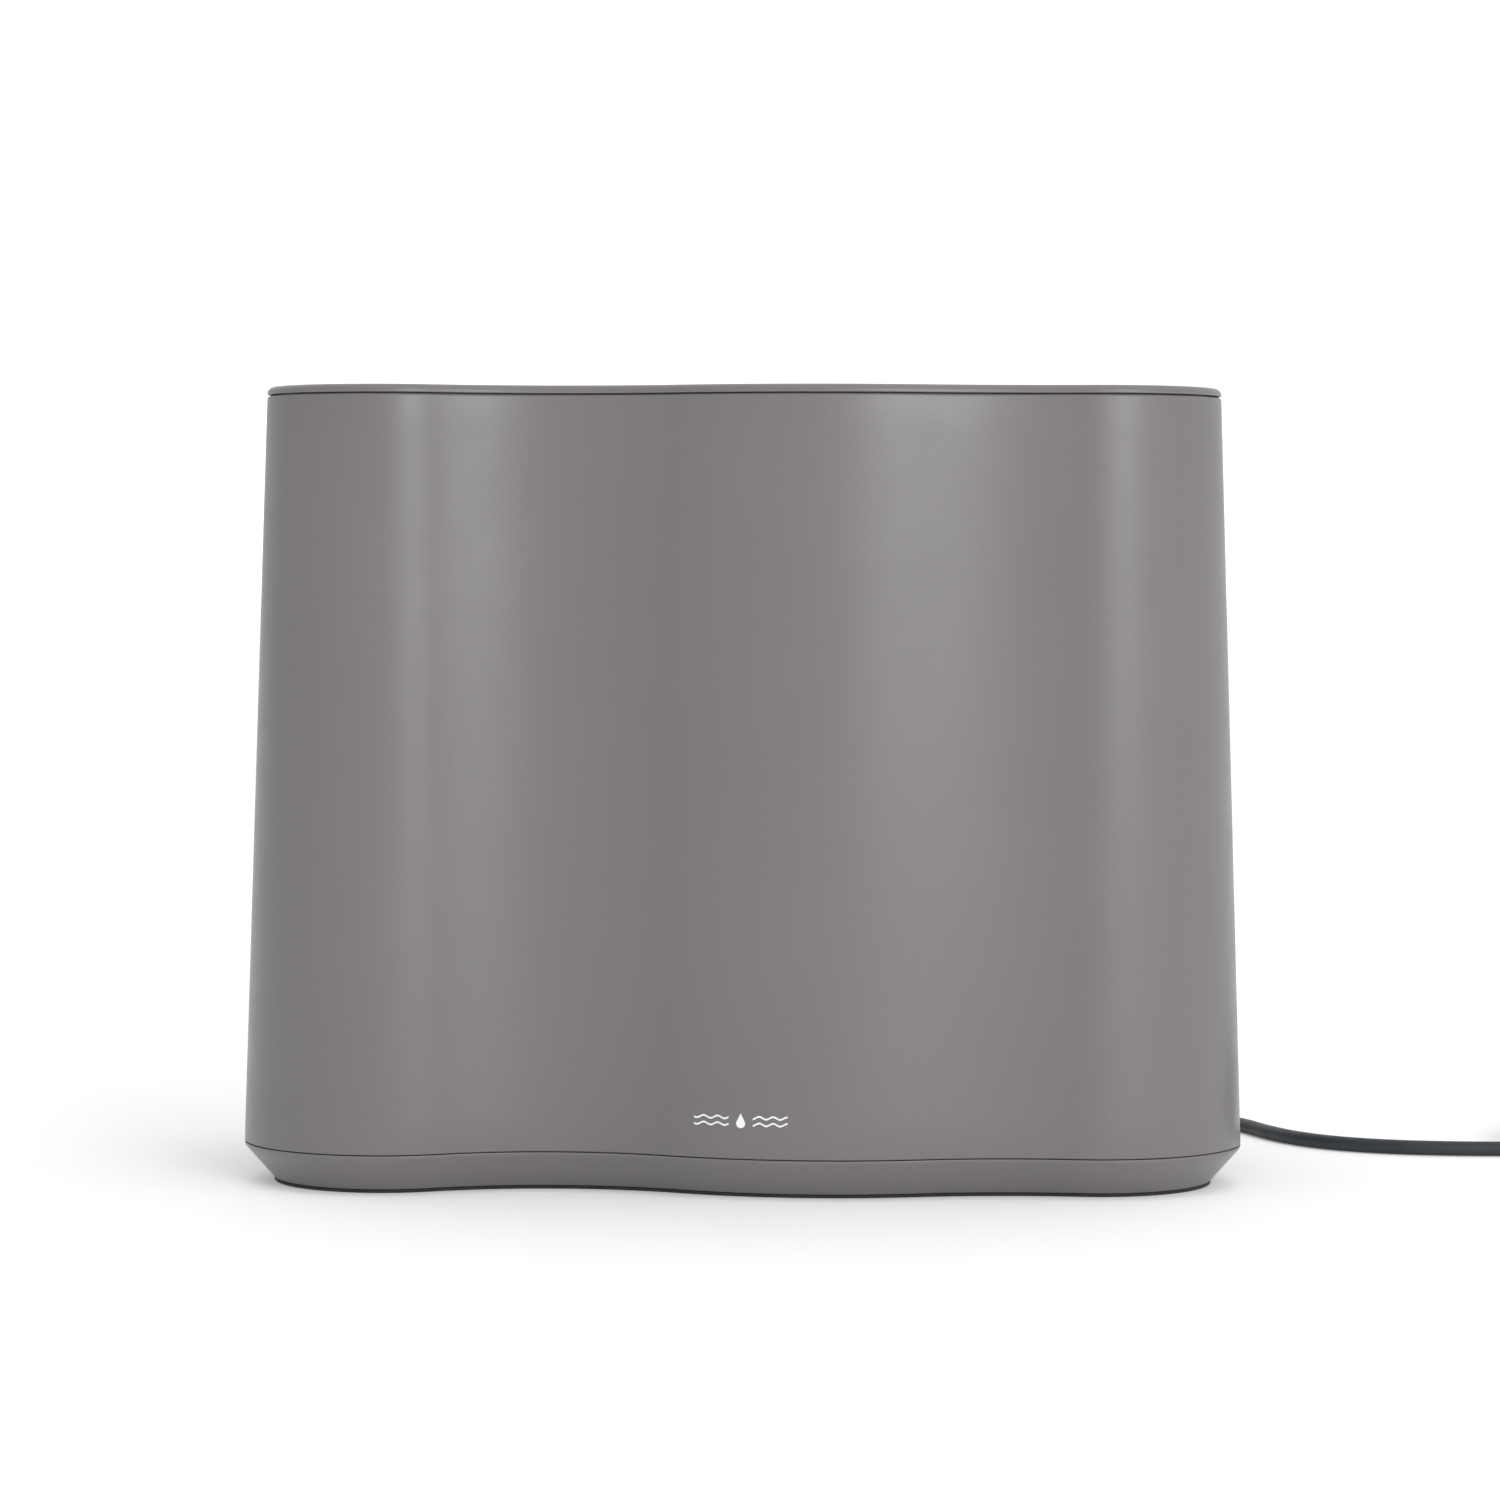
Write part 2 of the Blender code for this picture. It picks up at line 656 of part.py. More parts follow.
def make_water_tank():
    rings = (
        (15.6, TANK_BOTTOM),
        (14.5, TANK_BOTTOM + 1.1),
        (12.0, TANK_TOP),
        (12.0 + TANK_WALL, TANK_TOP),
        (14.4 + TANK_WALL, TANK_FLOOR),
    )
    tank = object_from("water_tank", loft(rings), tank_plastic())
    roof_top = POCKET_ROOF + TANK_WALL
    pocket = upright(MIST_X, MIST_Y, TANK_BOTTOM + 1, roof_top, POCKET_RADIUS + TANK_WALL, 40)
    join(tank, "pocket_wall", pocket)
    for name, foot in (("front", LUG_FRONT), ("rear", LUG_REAR)):
        place = Matrix.Translation((0, 0, HANDLE_Z - LUG_BELOW))
        join(tank, f"handle_lug_{name}", prism(foot, LUG_HEIGHT, place))
    hollow = upright(MIST_X, MIST_Y, TANK_BOTTOM - 2, POCKET_ROOF, POCKET_RADIUS, 40)
    cut(tank, "pocket_hollow", hollow)
    chimney_hole = upright(MIST_X, MIST_Y, POCKET_ROOF - 10, POCKET_ROOF + 10, CHIMNEY_BORE - 1)
    cut(tank, "chimney_hole", chimney_hole)
    valve_hole = upright(VALVE_X, VALVE_Y, TANK_BOTTOM - 12, TANK_BOTTOM + 8, VALVE_NECK + 0.4, 32)
    cut(tank, "valve_hole", valve_hole)
    for name, start, end in (("front", -76, -50), ("rear", 54, 80)):
        hole = cylinder((0, start, HANDLE_Z), (0, end, HANDLE_Z), PIN_RADIUS + GAP, 16)
        cut(tank, f"pin_hole_{name}", hole)


def make_mist_chimney():
    foot, flange, thickness = POCKET_ROOF + TANK_WALL + GAP, 24.0, 2.5
    profile = (
        (CHIMNEY_RADIUS, CHIMNEY_TOP),
        (CHIMNEY_RADIUS, foot + thickness),
        (flange, foot + thickness),
        (flange, foot),
        (CHIMNEY_BORE, foot),
        (CHIMNEY_BORE, CHIMNEY_TOP),
    )
    turned("mist_chimney", profile, (MIST_X, MIST_Y, 0), tank_plastic(), closed=True, sides=24)


def make_tank_handle():
    half = HANDLE_ARM / 2
    front, rear = HANDLE_FRONT, HANDLE_REAR
    grip_in, grip_out, heel = -HANDLE_REACH + 6, -HANDLE_REACH - 6, 7.0
    corners = (
        (heel, front - half),
        (heel, front + half),
        (grip_in, front + half),
        (grip_in, rear - half),
        (heel, rear - half),
        (heel, rear + half),
        (grip_out, rear + half),
        (grip_out, front - half),
    )
    points = rounded_points(corners, 3.0, 3)
    thickness = 9.0
    bm = prism(points, thickness, Matrix.Translation((0, 0, HANDLE_Z - thickness / 2)))
    middle = (front + rear) / 2
    handle = object_from("tank_handle", bm, inner_plastic(), origin=(0, middle, HANDLE_Z))
    start, end = (0, front - 10, HANDLE_Z), (0, rear + 10, HANDLE_Z)
    cut(handle, "handle_eyes", cylinder(start, end, PIN_RADIUS + GAP, 16))


def make_handle_pins():
    for name, arm, outward in (("front", HANDLE_FRONT, -1), ("rear", HANDLE_REAR, 1)):
        inner_face = arm - outward * (HANDLE_ARM / 2 + GAP)
        tip = arm + outward * 16.0
        shank = cylinder((0, inner_face - outward, HANDLE_Z), (0, tip, HANDLE_Z), PIN_RADIUS, 16)
        pin = object_from(f"handle_pin_{name}", shank, steel())
        start, end = (0, inner_face - outward * 1.8, HANDLE_Z), (0, inner_face, HANDLE_Z)
        join(pin, f"pin_head_{name}", cylinder(start, end, PIN_RADIUS + 2, 16))


def beside_valve(reach, degrees):
    """The plan position at a distance and bearing from the valve's axis."""
    angle = math.radians(degrees)
    return VALVE_X + reach * math.cos(angle), VALVE_Y + reach * math.sin(angle)


def make_valve_cap():
    opening, guide = 10.0, STEM_RADIUS + 0.4
    profile = (
        (VALVE_NECK, VALVE_NECK_TOP),
        (VALVE_NECK, VALVE_FLANGE_TOP),
        (VALVE_FLANGE, VALVE_FLANGE_TOP),
        (VALVE_FLANGE, VALVE_FLANGE_LOW),
        (opening, VALVE_FLANGE_LOW),
        (opening, VALVE_SEAT),
        (VALVE_BORE, VALVE_SEAT),
        (VALVE_BORE, VALVE_WEB_LOW),
        (guide, VALVE_WEB_LOW),
        (guide, VALVE_WEB_TOP),
        (VALVE_BORE, VALVE_WEB_TOP),
        (VALVE_BORE, VALVE_NECK_TOP),
    )
    cap = turned(
        "valve_cap", profile, (VALVE_X, VALVE_Y, 0), inner_plastic(), closed=True, sides=24
    )
    for number in range(4):
        x, y = beside_valve(11, 45 + 90 * number)
        hole = upright(x, y, VALVE_WEB_LOW - 2, VALVE_WEB_TOP + 1, 4.5, 12)
        cut(cap, f"web_hole_{number + 1}", hole)


def make_valve_washer():
    outer, inner = VALVE_FLANGE - 0.5, VALVE_NECK + 0.5
    low, high = VALVE_FLANGE_TOP + GAP, TANK_BOTTOM - GAP
    ring = ((outer, high), (outer, low), (inner, low), (inner, high))
    turned("valve_washer", ring, (VALVE_X, VALVE_Y, 0), dark_rubber(), closed=True, sides=24)


def make_valve_plunger():
    profile = (
        (0, STEM_TOP),
        (STEM_RADIUS, STEM_TOP),
        (STEM_RADIUS, PLUNGER_TOP),
        (PLUNGER_RADIUS, PLUNGER_TOP),
        (PLUNGER_RADIUS, VALVE_SEAT + GAP),
        (STEM_RADIUS, VALVE_SEAT + GAP),
        (STEM_RADIUS, STEM_LOW),
        (0, STEM_LOW),
    )
    turned("valve_plunger", profile, (VALVE_X, VALVE_Y, 0), inner_plastic(), sides=20)


def make_valve_spring():
    per_turn = 10
    count = round(SPRING_TURNS * per_turn)
    path = []
    for i in range(count + 1):
        x, y = beside_valve(SPRING_RADIUS, 360 * i / per_turn)
        path.append((x, y, SPRING_LOW + (SPRING_HIGH - SPRING_LOW) * i / count))
    tube("valve_spring", path, SPRING_WIRE, steel(), resolution=0)


# ---------------------------------------------------------------- basin and transducer


def clamp_screw_places():
    return [(TRANSDUCER_X + side * CLAMP_SCREW_REACH, MIST_Y) for side in (-1, 1)]


def make_basin_tray():
    rings = (
        (TRAY_INSET, TRAY_BOTTOM),
        (TRAY_INSET, TRAY_TOP),
        (TRAY_INSET + TRAY_WALL, TRAY_TOP),
        (TRAY_INSET + TRAY_WALL, TRAY_FLOOR),
    )
    tray = object_from("basin_tray", loft(rings), inner_plastic())
    inside = TRAY_BOTTOM + 1.0  # the height, within the floor, that added bodies start or end at
    for number, (x, y) in enumerate(TRAY_PILLARS, 1):
        pillar = upright(x, y, PILLAR_BOSS_TOP + GAP, inside, 5.0, 12)
        join(tray, f"tray_pillar_{number}", pillar)
        cut(tray, f"pillar_hole_{number}", upright(x, y, 5, 22, SCREW_HOLE, 12))
    for number, (x, y) in enumerate(TANK_RESTS, 1):
        join(tray, f"tank_rest_{number}", upright(x, y, inside, TANK_REST_TOP, 5.0, 12))
    join(tray, "valve_pin", upright(VALVE_X, VALVE_Y, inside, STEM_LOW - GAP, 3.0, 12))
    join(tray, "float_post", upright(FLOAT_X, FLOAT_Y, inside, 90, 2.5, 12))
    join(tray, "air_standpipe", upright(FAN_X, MIST_Y, inside, 94, STANDPIPE_OUTER, 20))
    cut(tray, "standpipe_bore", upright(FAN_X, MIST_Y, 60, 96, STANDPIPE_INNER, 20))
    hole = upright(TRANSDUCER_X, MIST_Y, 60, 66, TRANSDUCER_SEAT + GAP)
    cut(tray, "transducer_hole", hole)
    for number, (x, y) in enumerate(clamp_screw_places(), 1):
        join(tray, f"clamp_boss_{number}", upright(x, y, 58, inside, 3.0, 12))
        cut(tray, f"clamp_boss_hole_{number}", upright(x, y, 56, 62, 1.6, 8))


def make_transducer():
    """The disc sits in its rubber seal's groove; a clamp ring holds the seal up in the tray's hole."""
    place = (TRANSDUCER_X, MIST_Y, 0)
    disc_radius, disc_low, disc_top = 10.3, 60.8, 62.6
    disc = upright(TRANSDUCER_X, MIST_Y, disc_low, disc_top, disc_radius)
    object_from("transducer_disc", disc, steel())
    lip, seal_low, seal_top, opening = 15.0, 58.0, 66.5, 8.0
    seal = (
        (lip, seal_top),
        (lip, TRAY_FLOOR + GAP),
        (TRANSDUCER_SEAT, TRAY_FLOOR + GAP),
        (TRANSDUCER_SEAT, seal_low),
        (opening, seal_low),
        (opening, disc_low - GAP),
        (disc_radius + GAP, disc_low - GAP),
        (disc_radius + GAP, disc_top + GAP),
        (opening, disc_top + GAP),
        (opening, seal_top),
    )
    turned("transducer_seal", seal, place, dark_rubber(), closed=True, sides=24)
    ring_radius, ring_low, ring_top = 20.0, 54.7, seal_low - GAP
    ring = (
        (ring_radius, ring_top),
        (ring_radius, ring_low),
        (opening, ring_low),
        (opening, ring_top),
    )
    clamp = turned("transducer_clamp", ring, place, steel(), closed=True, sides=24)
    head_top = ring_low - GAP
    head_low = head_top - 1.5
    shank, head, tip = 1.2, 2.6, 61.2
    screw = (
        (0, tip),
        (shank, tip),
        (shank, head_top),
        (head, head_top),
        (head, head_low),
        (0, head_low),
    )
    for number, (x, y) in enumerate(clamp_screw_places(), 1):
        cut(clamp, f"clamp_hole_{number}", upright(x, y, 53, 60, 1.6, 8))
        turned(f"clamp_screw_{number}", screw, (x, y, 0), steel(), sides=10)


def make_float():
    place = (FLOAT_X, FLOAT_Y, 0)
    ring = ((9.0, 75.2), (9.0, 65.2), (3.0, 65.2), (3.0, 75.2))
    turned("float_ring", ring, place, inner_plastic(), closed=True, sides=20)
    clip = ((5.0, 89.4), (5.0, 88.0), (2.8, 88.0), (2.8, 89.4))
    turned("float_retainer", clip, place, steel(), closed=True, sides=16)


# ---------------------------------------------------------------- fan


def make_fan_frame():
    square = rounded_points(rectangle(FAN_SIZE, FAN_SIZE), 4.0, 3)
    place = Matrix.Translation((FAN_X, MIST_Y, FAN_LOW))
    frame = object_from("fan_frame", prism(square, FAN_HIGH - FAN_LOW, place), dark_plastic())
    cut(frame, "fan_throat", upright(FAN_X, MIST_Y, 0, 30, FAN_THROAT, 32))
    strut_top = FAN_LOW + STRUT_THICK
    for number in range(FAN_STRUTS):
        arm = box((0, -1.6, FAN_LOW), (FAN_THROAT + 1.5, 1.6, strut_top))
        turn = Matrix.Rotation(2 * math.pi * number / FAN_STRUTS, 4, "Z")
        place = Matrix.Translation((FAN_X, MIST_Y, 0)) @ turn
        bmesh.ops.transform(arm, verts=arm.verts, matrix=place)
        join(frame, f"fan_strut_{number + 1}", arm)
    join(frame, "fan_hub_plate", upright(FAN_X, MIST_Y, FAN_LOW, strut_top, 12.5))


def make_fan_rotor():
    motor = upright(FAN_X, MIST_Y, FAN_LOW + STRUT_THICK + GAP, 16.0, 10.5, 20)
    object_from("fan_motor", motor, steel())
    hub = (
        (0, 22.5),
        (13.0, 22.5),
        (13.5, 22.0),
        (13.5, 8.0),
        (11.6, 8.0),
        (11.6, 20.5),
        (0, 20.5),
    )
    impeller = turned("fan_impeller", hub, (FAN_X, MIST_Y, 0), dark_plastic(), sides=28)
    join(impeller, "fan_blades", fan_blades())


def fan_blades():
    """Flat pitched blades from inside the hub's wall to just short of the throat."""
    whole = bmesh.new()
    for number in range(FAN_BLADES):
        blade = box((12.6, -0.7, -7.0), (FAN_THROAT - 1.4, 0.7, 7.0))
        pitch = Matrix.Rotation(math.radians(48), 4, "X")
        turn = Matrix.Rotation(2 * math.pi * number / FAN_BLADES, 4, "Z")
        place = Matrix.Translation((FAN_X, MIST_Y, 15.2)) @ turn @ pitch
        bmesh.ops.transform(blade, verts=blade.verts, matrix=place)
        mesh = bpy.data.meshes.new("blade")
        blade.to_mesh(mesh)
        blade.free()
        whole.from_mesh(mesh)
        bpy.data.meshes.remove(mesh)
    return whole


def make_air_duct():
    """A funnel from the fan's throat up to the standpipe's foot."""
    low, high, wall = FAN_HIGH + GAP, TRAY_BOTTOM - GAP, 1.4
    wide, narrow = FAN_THROAT + 0.2, STANDPIPE_OUTER
    profile = (
        (narrow + wall + 0.1, high),
        (narrow + wall + 0.1, 57.0),
        (wide + wall, 31.0),
        (wide + wall, low),
        (wide, low),
        (wide, 30.5),
        (narrow, 56.5),
        (narrow, high),
    )
    turned("air_duct", profile, (FAN_X, MIST_Y, 0), inner_plastic(), closed=True, sides=24)


# ---------------------------------------------------------------- boards


def board_corners():
    xs = (BOARD_LOW[0] + BOARD_MARGIN, BOARD_HIGH[0] - BOARD_MARGIN)
    ys = (BOARD_LOW[1] + BOARD_MARGIN, BOARD_HIGH[1] - BOARD_MARGIN)
    return [(x, y) for x in xs for y in ys]


def make_driver_board():
    top = BOARD_Z + BOARD_THICK
    object_from("driver_board", box((*BOARD_LOW, BOARD_Z), (*BOARD_HIGH, top)), board_laminate())
    sink = object_from("heat_sink", box((-52, -20, top + GAP), (-34, 4, 44)), steel())
    for number in range(4):
        y = -16.8 + 5.4 * number
        cut(sink, f"fin_slot_{number + 1}", box((-53, y, 27), (-33, y + 2.8, 46)))
    can = ((0, 37.0), (5.0, 37.0), (5.5, 36.5), (5.5, top + GAP), (0, top + GAP))
    turned("filter_capacitor", can, (0, -26, 0), dark_plastic(), sides=16)
    choke = ((8.0, 29.5), (8.0, top + GAP), (3.5, top + GAP), (3.5, 29.5))
    turned("choke_coil", choke, (-12, 2, 0), copper(), closed=True, sides=16)


def make_inner_wires():
    supply = (
        (JACK_X, 67.4, JACK_Z),
        (80.5, 59.0, 25.0),
        (72.0, 49.0, 22.0),
        (56.0, 39.0, 20.0),
        (38.0, 28.0, 21.0),
        (22.4, 16.0, 23.0),
    )
    tube("supply_wire", smooth_path(supply, 6.0), 1.4, dark_plastic(), resolution=0)
    drive = (
        (TRANSDUCER_X, MIST_Y, 60.4),
        (TRANSDUCER_X, MIST_Y, 52.0),
        (76.0, 0.0, 42.0),
        (60.0, -5.0, 35.0),
        (42.0, -9.0, 28.0),
        (22.4, -11.0, 23.0),
    )
    tube("transducer_wire", smooth_path(drive, 6.0), 1.4, dark_plastic(), resolution=0)


# ---------------------------------------------------------------- rear controls and inlet


def button_places():
    return (("power", PANEL_X - BUTTON_OFFSET), ("mist", PANEL_X + BUTTON_OFFSET))


def back_to_front(x, start_y, end_y, radius, sides=24):
    """A cylinder along Y at the panel's height."""
    return cylinder((x, start_y, PANEL_Z), (x, end_y, PANEL_Z), radius, sides)


def make_control_bezel():
    flange = rounded_points(rectangle(*BEZEL_FLANGE), 8.0)
    place = facing_back(PANEL_X, PANEL_BACK_Y, PANEL_Z)
    plate = prism(flange, BEZEL_FLANGE_FRONT_Y - PANEL_BACK_Y, place)
    bezel = object_from("control_bezel", plate, dark_plastic())
    width, height = PANEL_OPENING
    window = rounded_points(rectangle(width - 2 * GAP, height - 2 * GAP), PANEL_CORNER - GAP)
    raised = prism(window, PANEL_FACE_Y - 91.0, facing_back(PANEL_X, 91.0, PANEL_Z))
    join(bezel, "bezel_face", raised)
    for name, side in (("right", -1), ("left", 1)):
        x = PANEL_X + side * BEZEL_POST_OFFSET
        post = back_to_front(x, CONTROL_BOARD_Y + BOARD_THICK + GAP, PANEL_BACK_Y + 1.5, 2.2, 12)
        join(bezel, f"bezel_post_{name}", post)
    for name, x in button_places():
        cut(bezel, f"{name}_hole", back_to_front(x, 88, 99, BUTTON_RADIUS + 0.4))
    cut(bezel, "pipe_hole", back_to_front(PANEL_X, 88, 99, LIGHT_PIPE_RADIUS + GAP, 12))


def make_buttons():
    """Each button's origin is on its own press axis, at the panel's face."""
    flange_front = PANEL_BACK_Y - GAP - PANEL_FACE_Y
    profile = (
        (0, 1.0),
        (5.4, 1.1),
        (6.4, 1.4),
        (BUTTON_RADIUS, 1.0),
        (BUTTON_RADIUS, flange_front),
        (BUTTON_RADIUS + 1.8, flange_front),
        (BUTTON_RADIUS + 1.8, flange_front - 1.5),
        (0, flange_front - 1.5),
    )
    for name, x in button_places():
        place = (x, PANEL_FACE_Y, PANEL_Z)
        turned(f"{name}_button", profile, place, case_plastic(), along="Y", sides=24)
        switch_foot = CONTROL_BOARD_Y + BOARD_THICK + GAP
        block = box((x - 3, switch_foot, PANEL_Z - 3), (x + 3, 86.8, PANEL_Z + 3))
        object_from(f"{name}_switch", block, dark_plastic())


def make_control_board():
    half_width, half_height = CONTROL_BOARD[0] / 2, CONTROL_BOARD[1] / 2
    low = (PANEL_X - half_width, CONTROL_BOARD_Y, PANEL_Z - half_height)
    high = (PANEL_X + half_width, CONTROL_BOARD_Y + BOARD_THICK, PANEL_Z + half_height)
    object_from("control_board", box(low, high), board_laminate())
    pipe = back_to_front(PANEL_X, 84.2, PANEL_FACE_Y + 0.2, LIGHT_PIPE_RADIUS, 12)
    object_from("light_pipe", pipe, tank_plastic())


def make_dc_jack():
    """The socket's origin is on its axis, at its outer face. Its bore is blind."""
    flange, flange_front, flange_back = 8.0, -2.3, -4.5
    bore_end, rear = -14.0, -18.3
    profile = (
        (0, bore_end),
        (JACK_BORE, bore_end),
        (JACK_BORE, 0),
        (JACK_BODY, 0),
        (JACK_BODY, flange_front),
        (flange, flange_front),
        (flange, flange_back),
        (JACK_BODY, flange_back),
        (JACK_BODY, rear),
        (0, rear),
    )
    place = (JACK_X, JACK_FACE_Y, JACK_Z)
    turned("dc_jack", profile, place, dark_plastic(), along="Y", sides=24)


# ---------------------------------------------------------------- lead


def make_dc_plug():
    start, end = (JACK_X, 73.5, JACK_Z), (JACK_X, JACK_FACE_Y + 0.4, JACK_Z)
    object_from("plug_barrel", cylinder(start, end, JACK_BORE - GAP, 16), steel())
    body_start = JACK_FACE_Y + 0.7
    body = cylinder((JACK_X, body_start, JACK_Z), (JACK_X, PLUG_AXIS_Y + 5.2, JACK_Z), 5.4, 20)
    plug = object_from("dc_plug", body, dark_plastic())
    arm = cylinder((JACK_X, PLUG_AXIS_Y, JACK_Z), (JACK_X + 13, PLUG_AXIS_Y, JACK_Z), 4.6, 20)
    join(plug, "plug_arm", arm)
    start, end = (JACK_X + 12, PLUG_AXIS_Y, JACK_Z), (RELIEF_END_X, PLUG_AXIS_Y, JACK_Z)
    join(plug, "plug_relief", cylinder(start, end, 4.2, 20, end_radius=3.0))


def make_lead():
    tube("cord_run", smooth_path(LEAD_ROUTE, 5.0), LEAD_RADIUS, lead_jacket(), resolution=2)
    tube("cord_tail", TAIL_ROUTE, LEAD_RADIUS, lead_jacket(), resolution=2)
    edge = 2.2
    profile = (
        (COIL_OUTER - edge, COIL_TOP),
        (COIL_OUTER, COIL_TOP - edge),
        (COIL_OUTER, COIL_BOTTOM + edge),
        (COIL_OUTER - edge, COIL_BOTTOM),
        (COIL_INNER + edge, COIL_BOTTOM),
        (COIL_INNER, COIL_BOTTOM + edge),
        (COIL_INNER, COIL_TOP - edge),
        (COIL_INNER + edge, COIL_TOP),
    )
    turned("cord_coil", profile, (COIL_X, COIL_Y, 0), lead_jacket(), closed=True, sides=36)


def make_coil_tie():
    """A strap round the coil's section, on the side away from the appliance."""
    hole_width, hole_height = TIE_HOLE
    middle = (COIL_INNER + COIL_OUTER) / 2
    height = 0.05 + TIE_THICK + hole_height / 2
    turn = Matrix.Rotation(math.radians(-40), 4, "Z")
    outward = Matrix.Translation((middle, TIE_WIDTH / 2, 0))
    standing = Matrix(((1, 0, 0), (0, 0, -1), (0, 1, 0))).to_4x4()
    place = Matrix.Translation((COIL_X, COIL_Y, height)) @ turn @ outward @ standing
    outer = rectangle(hole_width + 2 * TIE_THICK, hole_height + 2 * TIE_THICK)
    band = prism(rounded_points(outer, 2.4, 3), TIE_WIDTH, place)
    strap = object_from("coil_tie", band, dark_rubber())
    hole = rounded_points(rectangle(hole_width, hole_height), 1.8, 3)
    deeper = place @ Matrix.Translation((0, 0, -1))
    cut(strap, "tie_hole", prism(hole, TIE_WIDTH + 2, deeper))


def make_wall_adapter():
    half = ADAPTER_WIDTH / 2
    low = (TAIL_X - half, ADAPTER_Y0, 0.05)
    high = (TAIL_X + half, ADAPTER_Y1, ADAPTER_HEIGHT)
    body = object_from("wall_adapter", box(low, high, rounding=3.0), dark_plastic())
    start, end = (TAIL_X, 92.0, TAIL_Z), (TAIL_X, ADAPTER_Y0 + 2, TAIL_Z)
    join(body, "adapter_relief", cylinder(start, end, 3.0, 20, end_radius=4.6))
    for name, side in (("left", -1), ("right", 1)):
        x, y = TAIL_X + side * BLADE_OFFSET, ADAPTER_Y1 + GAP
        low = (x - BLADE_THICK / 2, y, TAIL_Z - BLADE_WIDTH / 2)
        high = (x + BLADE_THICK / 2, y + BLADE_LENGTH, TAIL_Z + BLADE_WIDTH / 2)
        blade = box(low, high, rounding=0.3, segments=1)
        object_from(f"adapter_blade_{name}", blade, steel())


def build():
    make_outer_shell()
    make_base_shell()
    make_foot_ring()
    make_base_screws()
    make_lid()
    make_mist_nozzle()
    make_water_tank()
    make_mist_chimney()
    make_tank_handle()
    make_handle_pins()
    make_valve_cap()
    make_valve_washer()
    make_valve_plunger()
    make_valve_spring()
    make_basin_tray()
    make_transducer()
    make_float()
    make_fan_frame()
    make_fan_rotor()
    make_air_duct()
    make_driver_board()
    make_inner_wires()
    make_control_bezel()
    make_buttons()
    make_control_board()
    make_dc_jack()
    make_dc_plug()
    make_lead()
    make_coil_tie()
    make_wall_adapter()


build()
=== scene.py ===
"""Looks of a three-lobed tabletop ultrasonic humidifier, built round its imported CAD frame.

Sizes are in millimetres in the frame's axes: +X to the right, +Y to the back, +Z up.
Corners of a profile are (u, v) or (u, v, fillet radius). A lathe's are (radius, height).
"""

import json
from math import atan2, ceil, copysign, cos, hypot, pi, radians, sin, sqrt, tan

import bmesh
import bpy
from mathutils import Matrix, Vector


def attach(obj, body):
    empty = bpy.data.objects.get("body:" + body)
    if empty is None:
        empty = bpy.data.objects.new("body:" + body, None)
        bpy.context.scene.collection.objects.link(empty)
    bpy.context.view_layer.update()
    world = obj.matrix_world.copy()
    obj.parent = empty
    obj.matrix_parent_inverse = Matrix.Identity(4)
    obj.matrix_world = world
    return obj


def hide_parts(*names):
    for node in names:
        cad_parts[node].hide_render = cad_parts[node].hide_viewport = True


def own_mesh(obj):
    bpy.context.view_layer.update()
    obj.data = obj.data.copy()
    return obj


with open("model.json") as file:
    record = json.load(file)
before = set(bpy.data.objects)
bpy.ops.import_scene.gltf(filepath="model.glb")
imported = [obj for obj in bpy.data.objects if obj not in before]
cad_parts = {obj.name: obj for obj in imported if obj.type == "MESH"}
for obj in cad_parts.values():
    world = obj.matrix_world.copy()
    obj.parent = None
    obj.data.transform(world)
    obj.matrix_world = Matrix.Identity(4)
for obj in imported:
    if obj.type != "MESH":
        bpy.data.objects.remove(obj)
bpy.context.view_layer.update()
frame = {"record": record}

BODY_OF = {
    node: body for body, nodes in frame["record"]["behaviour"]["bodies"].items() for node in nodes
}
MM = 0.001
GAP = 0.3  # clearance between neighbouring pieces
# Degrees between two faces that still shade as one surface: on moulded pieces and on wound wire
SMOOTH_ANGLE, WIRE_SMOOTH_ANGLE = 32, 50

# Plan of the shell at the base seam, counter-clockwise from the front left:
# (centre x, centre y, lobe radius, radius of the hollow after it)
LOBES = (
    (-121.1, -40.7, 48.9, 86.6),
    (30.4, 27, 126.9, 140),
    (119.4, -44.7, 50.6, 160),
    (118, 40, 52, 90),
    (8, -25, 125, 90),
    (-112, 38, 56, 160),
)
FRONT_LEFT, FRONT_MIDDLE, FRONT_RIGHT, REAR_RIGHT, REAR_LEFT = 0, 1, 2, 3, 5
OUTLINE_STEP = 2.4  # spacing of the points along a curved wall

# Heights of the case and the lean of its wall
SEAM_Z, LID_SEAM_Z, TOP_Z = 13.74, 267.06, 270
SEAM_GAP, LID_GAP = 0.3, 0.44
DRAFT = 0.032
SHELL_BOTTOM, SHELL_TOP = SEAM_Z + SEAM_GAP / 2, LID_SEAM_Z - LID_GAP / 2
BASE_RIM, LID_BOTTOM = SEAM_Z - SEAM_GAP / 2, LID_SEAM_Z + LID_GAP / 2
BASE_BOTTOM, BASE_CHAMFER, BASE_FLOOR = 1.3, 10.08, 4.3
FOOT_TOP, FOOT_WIDTH = 1, 4.2
SHELL_WALL, SHELL_FOOT_ROUND, SHELL_TOP_ROUND = 2.5, 0.35, 0.9
TAB_TOP = SHELL_BOTTOM + 4
LID_ROLL = 2.3  # radius of the lid's rolled edge
SKIRT_GAP, SKIRT_WALL, SKIRT_BOTTOM = 3.3, 2, 259
MARK_X, MARK_Z, MARK_HALF_LINE, PRINT_THICK = -0.4, 26.5, 0.3, 0.06

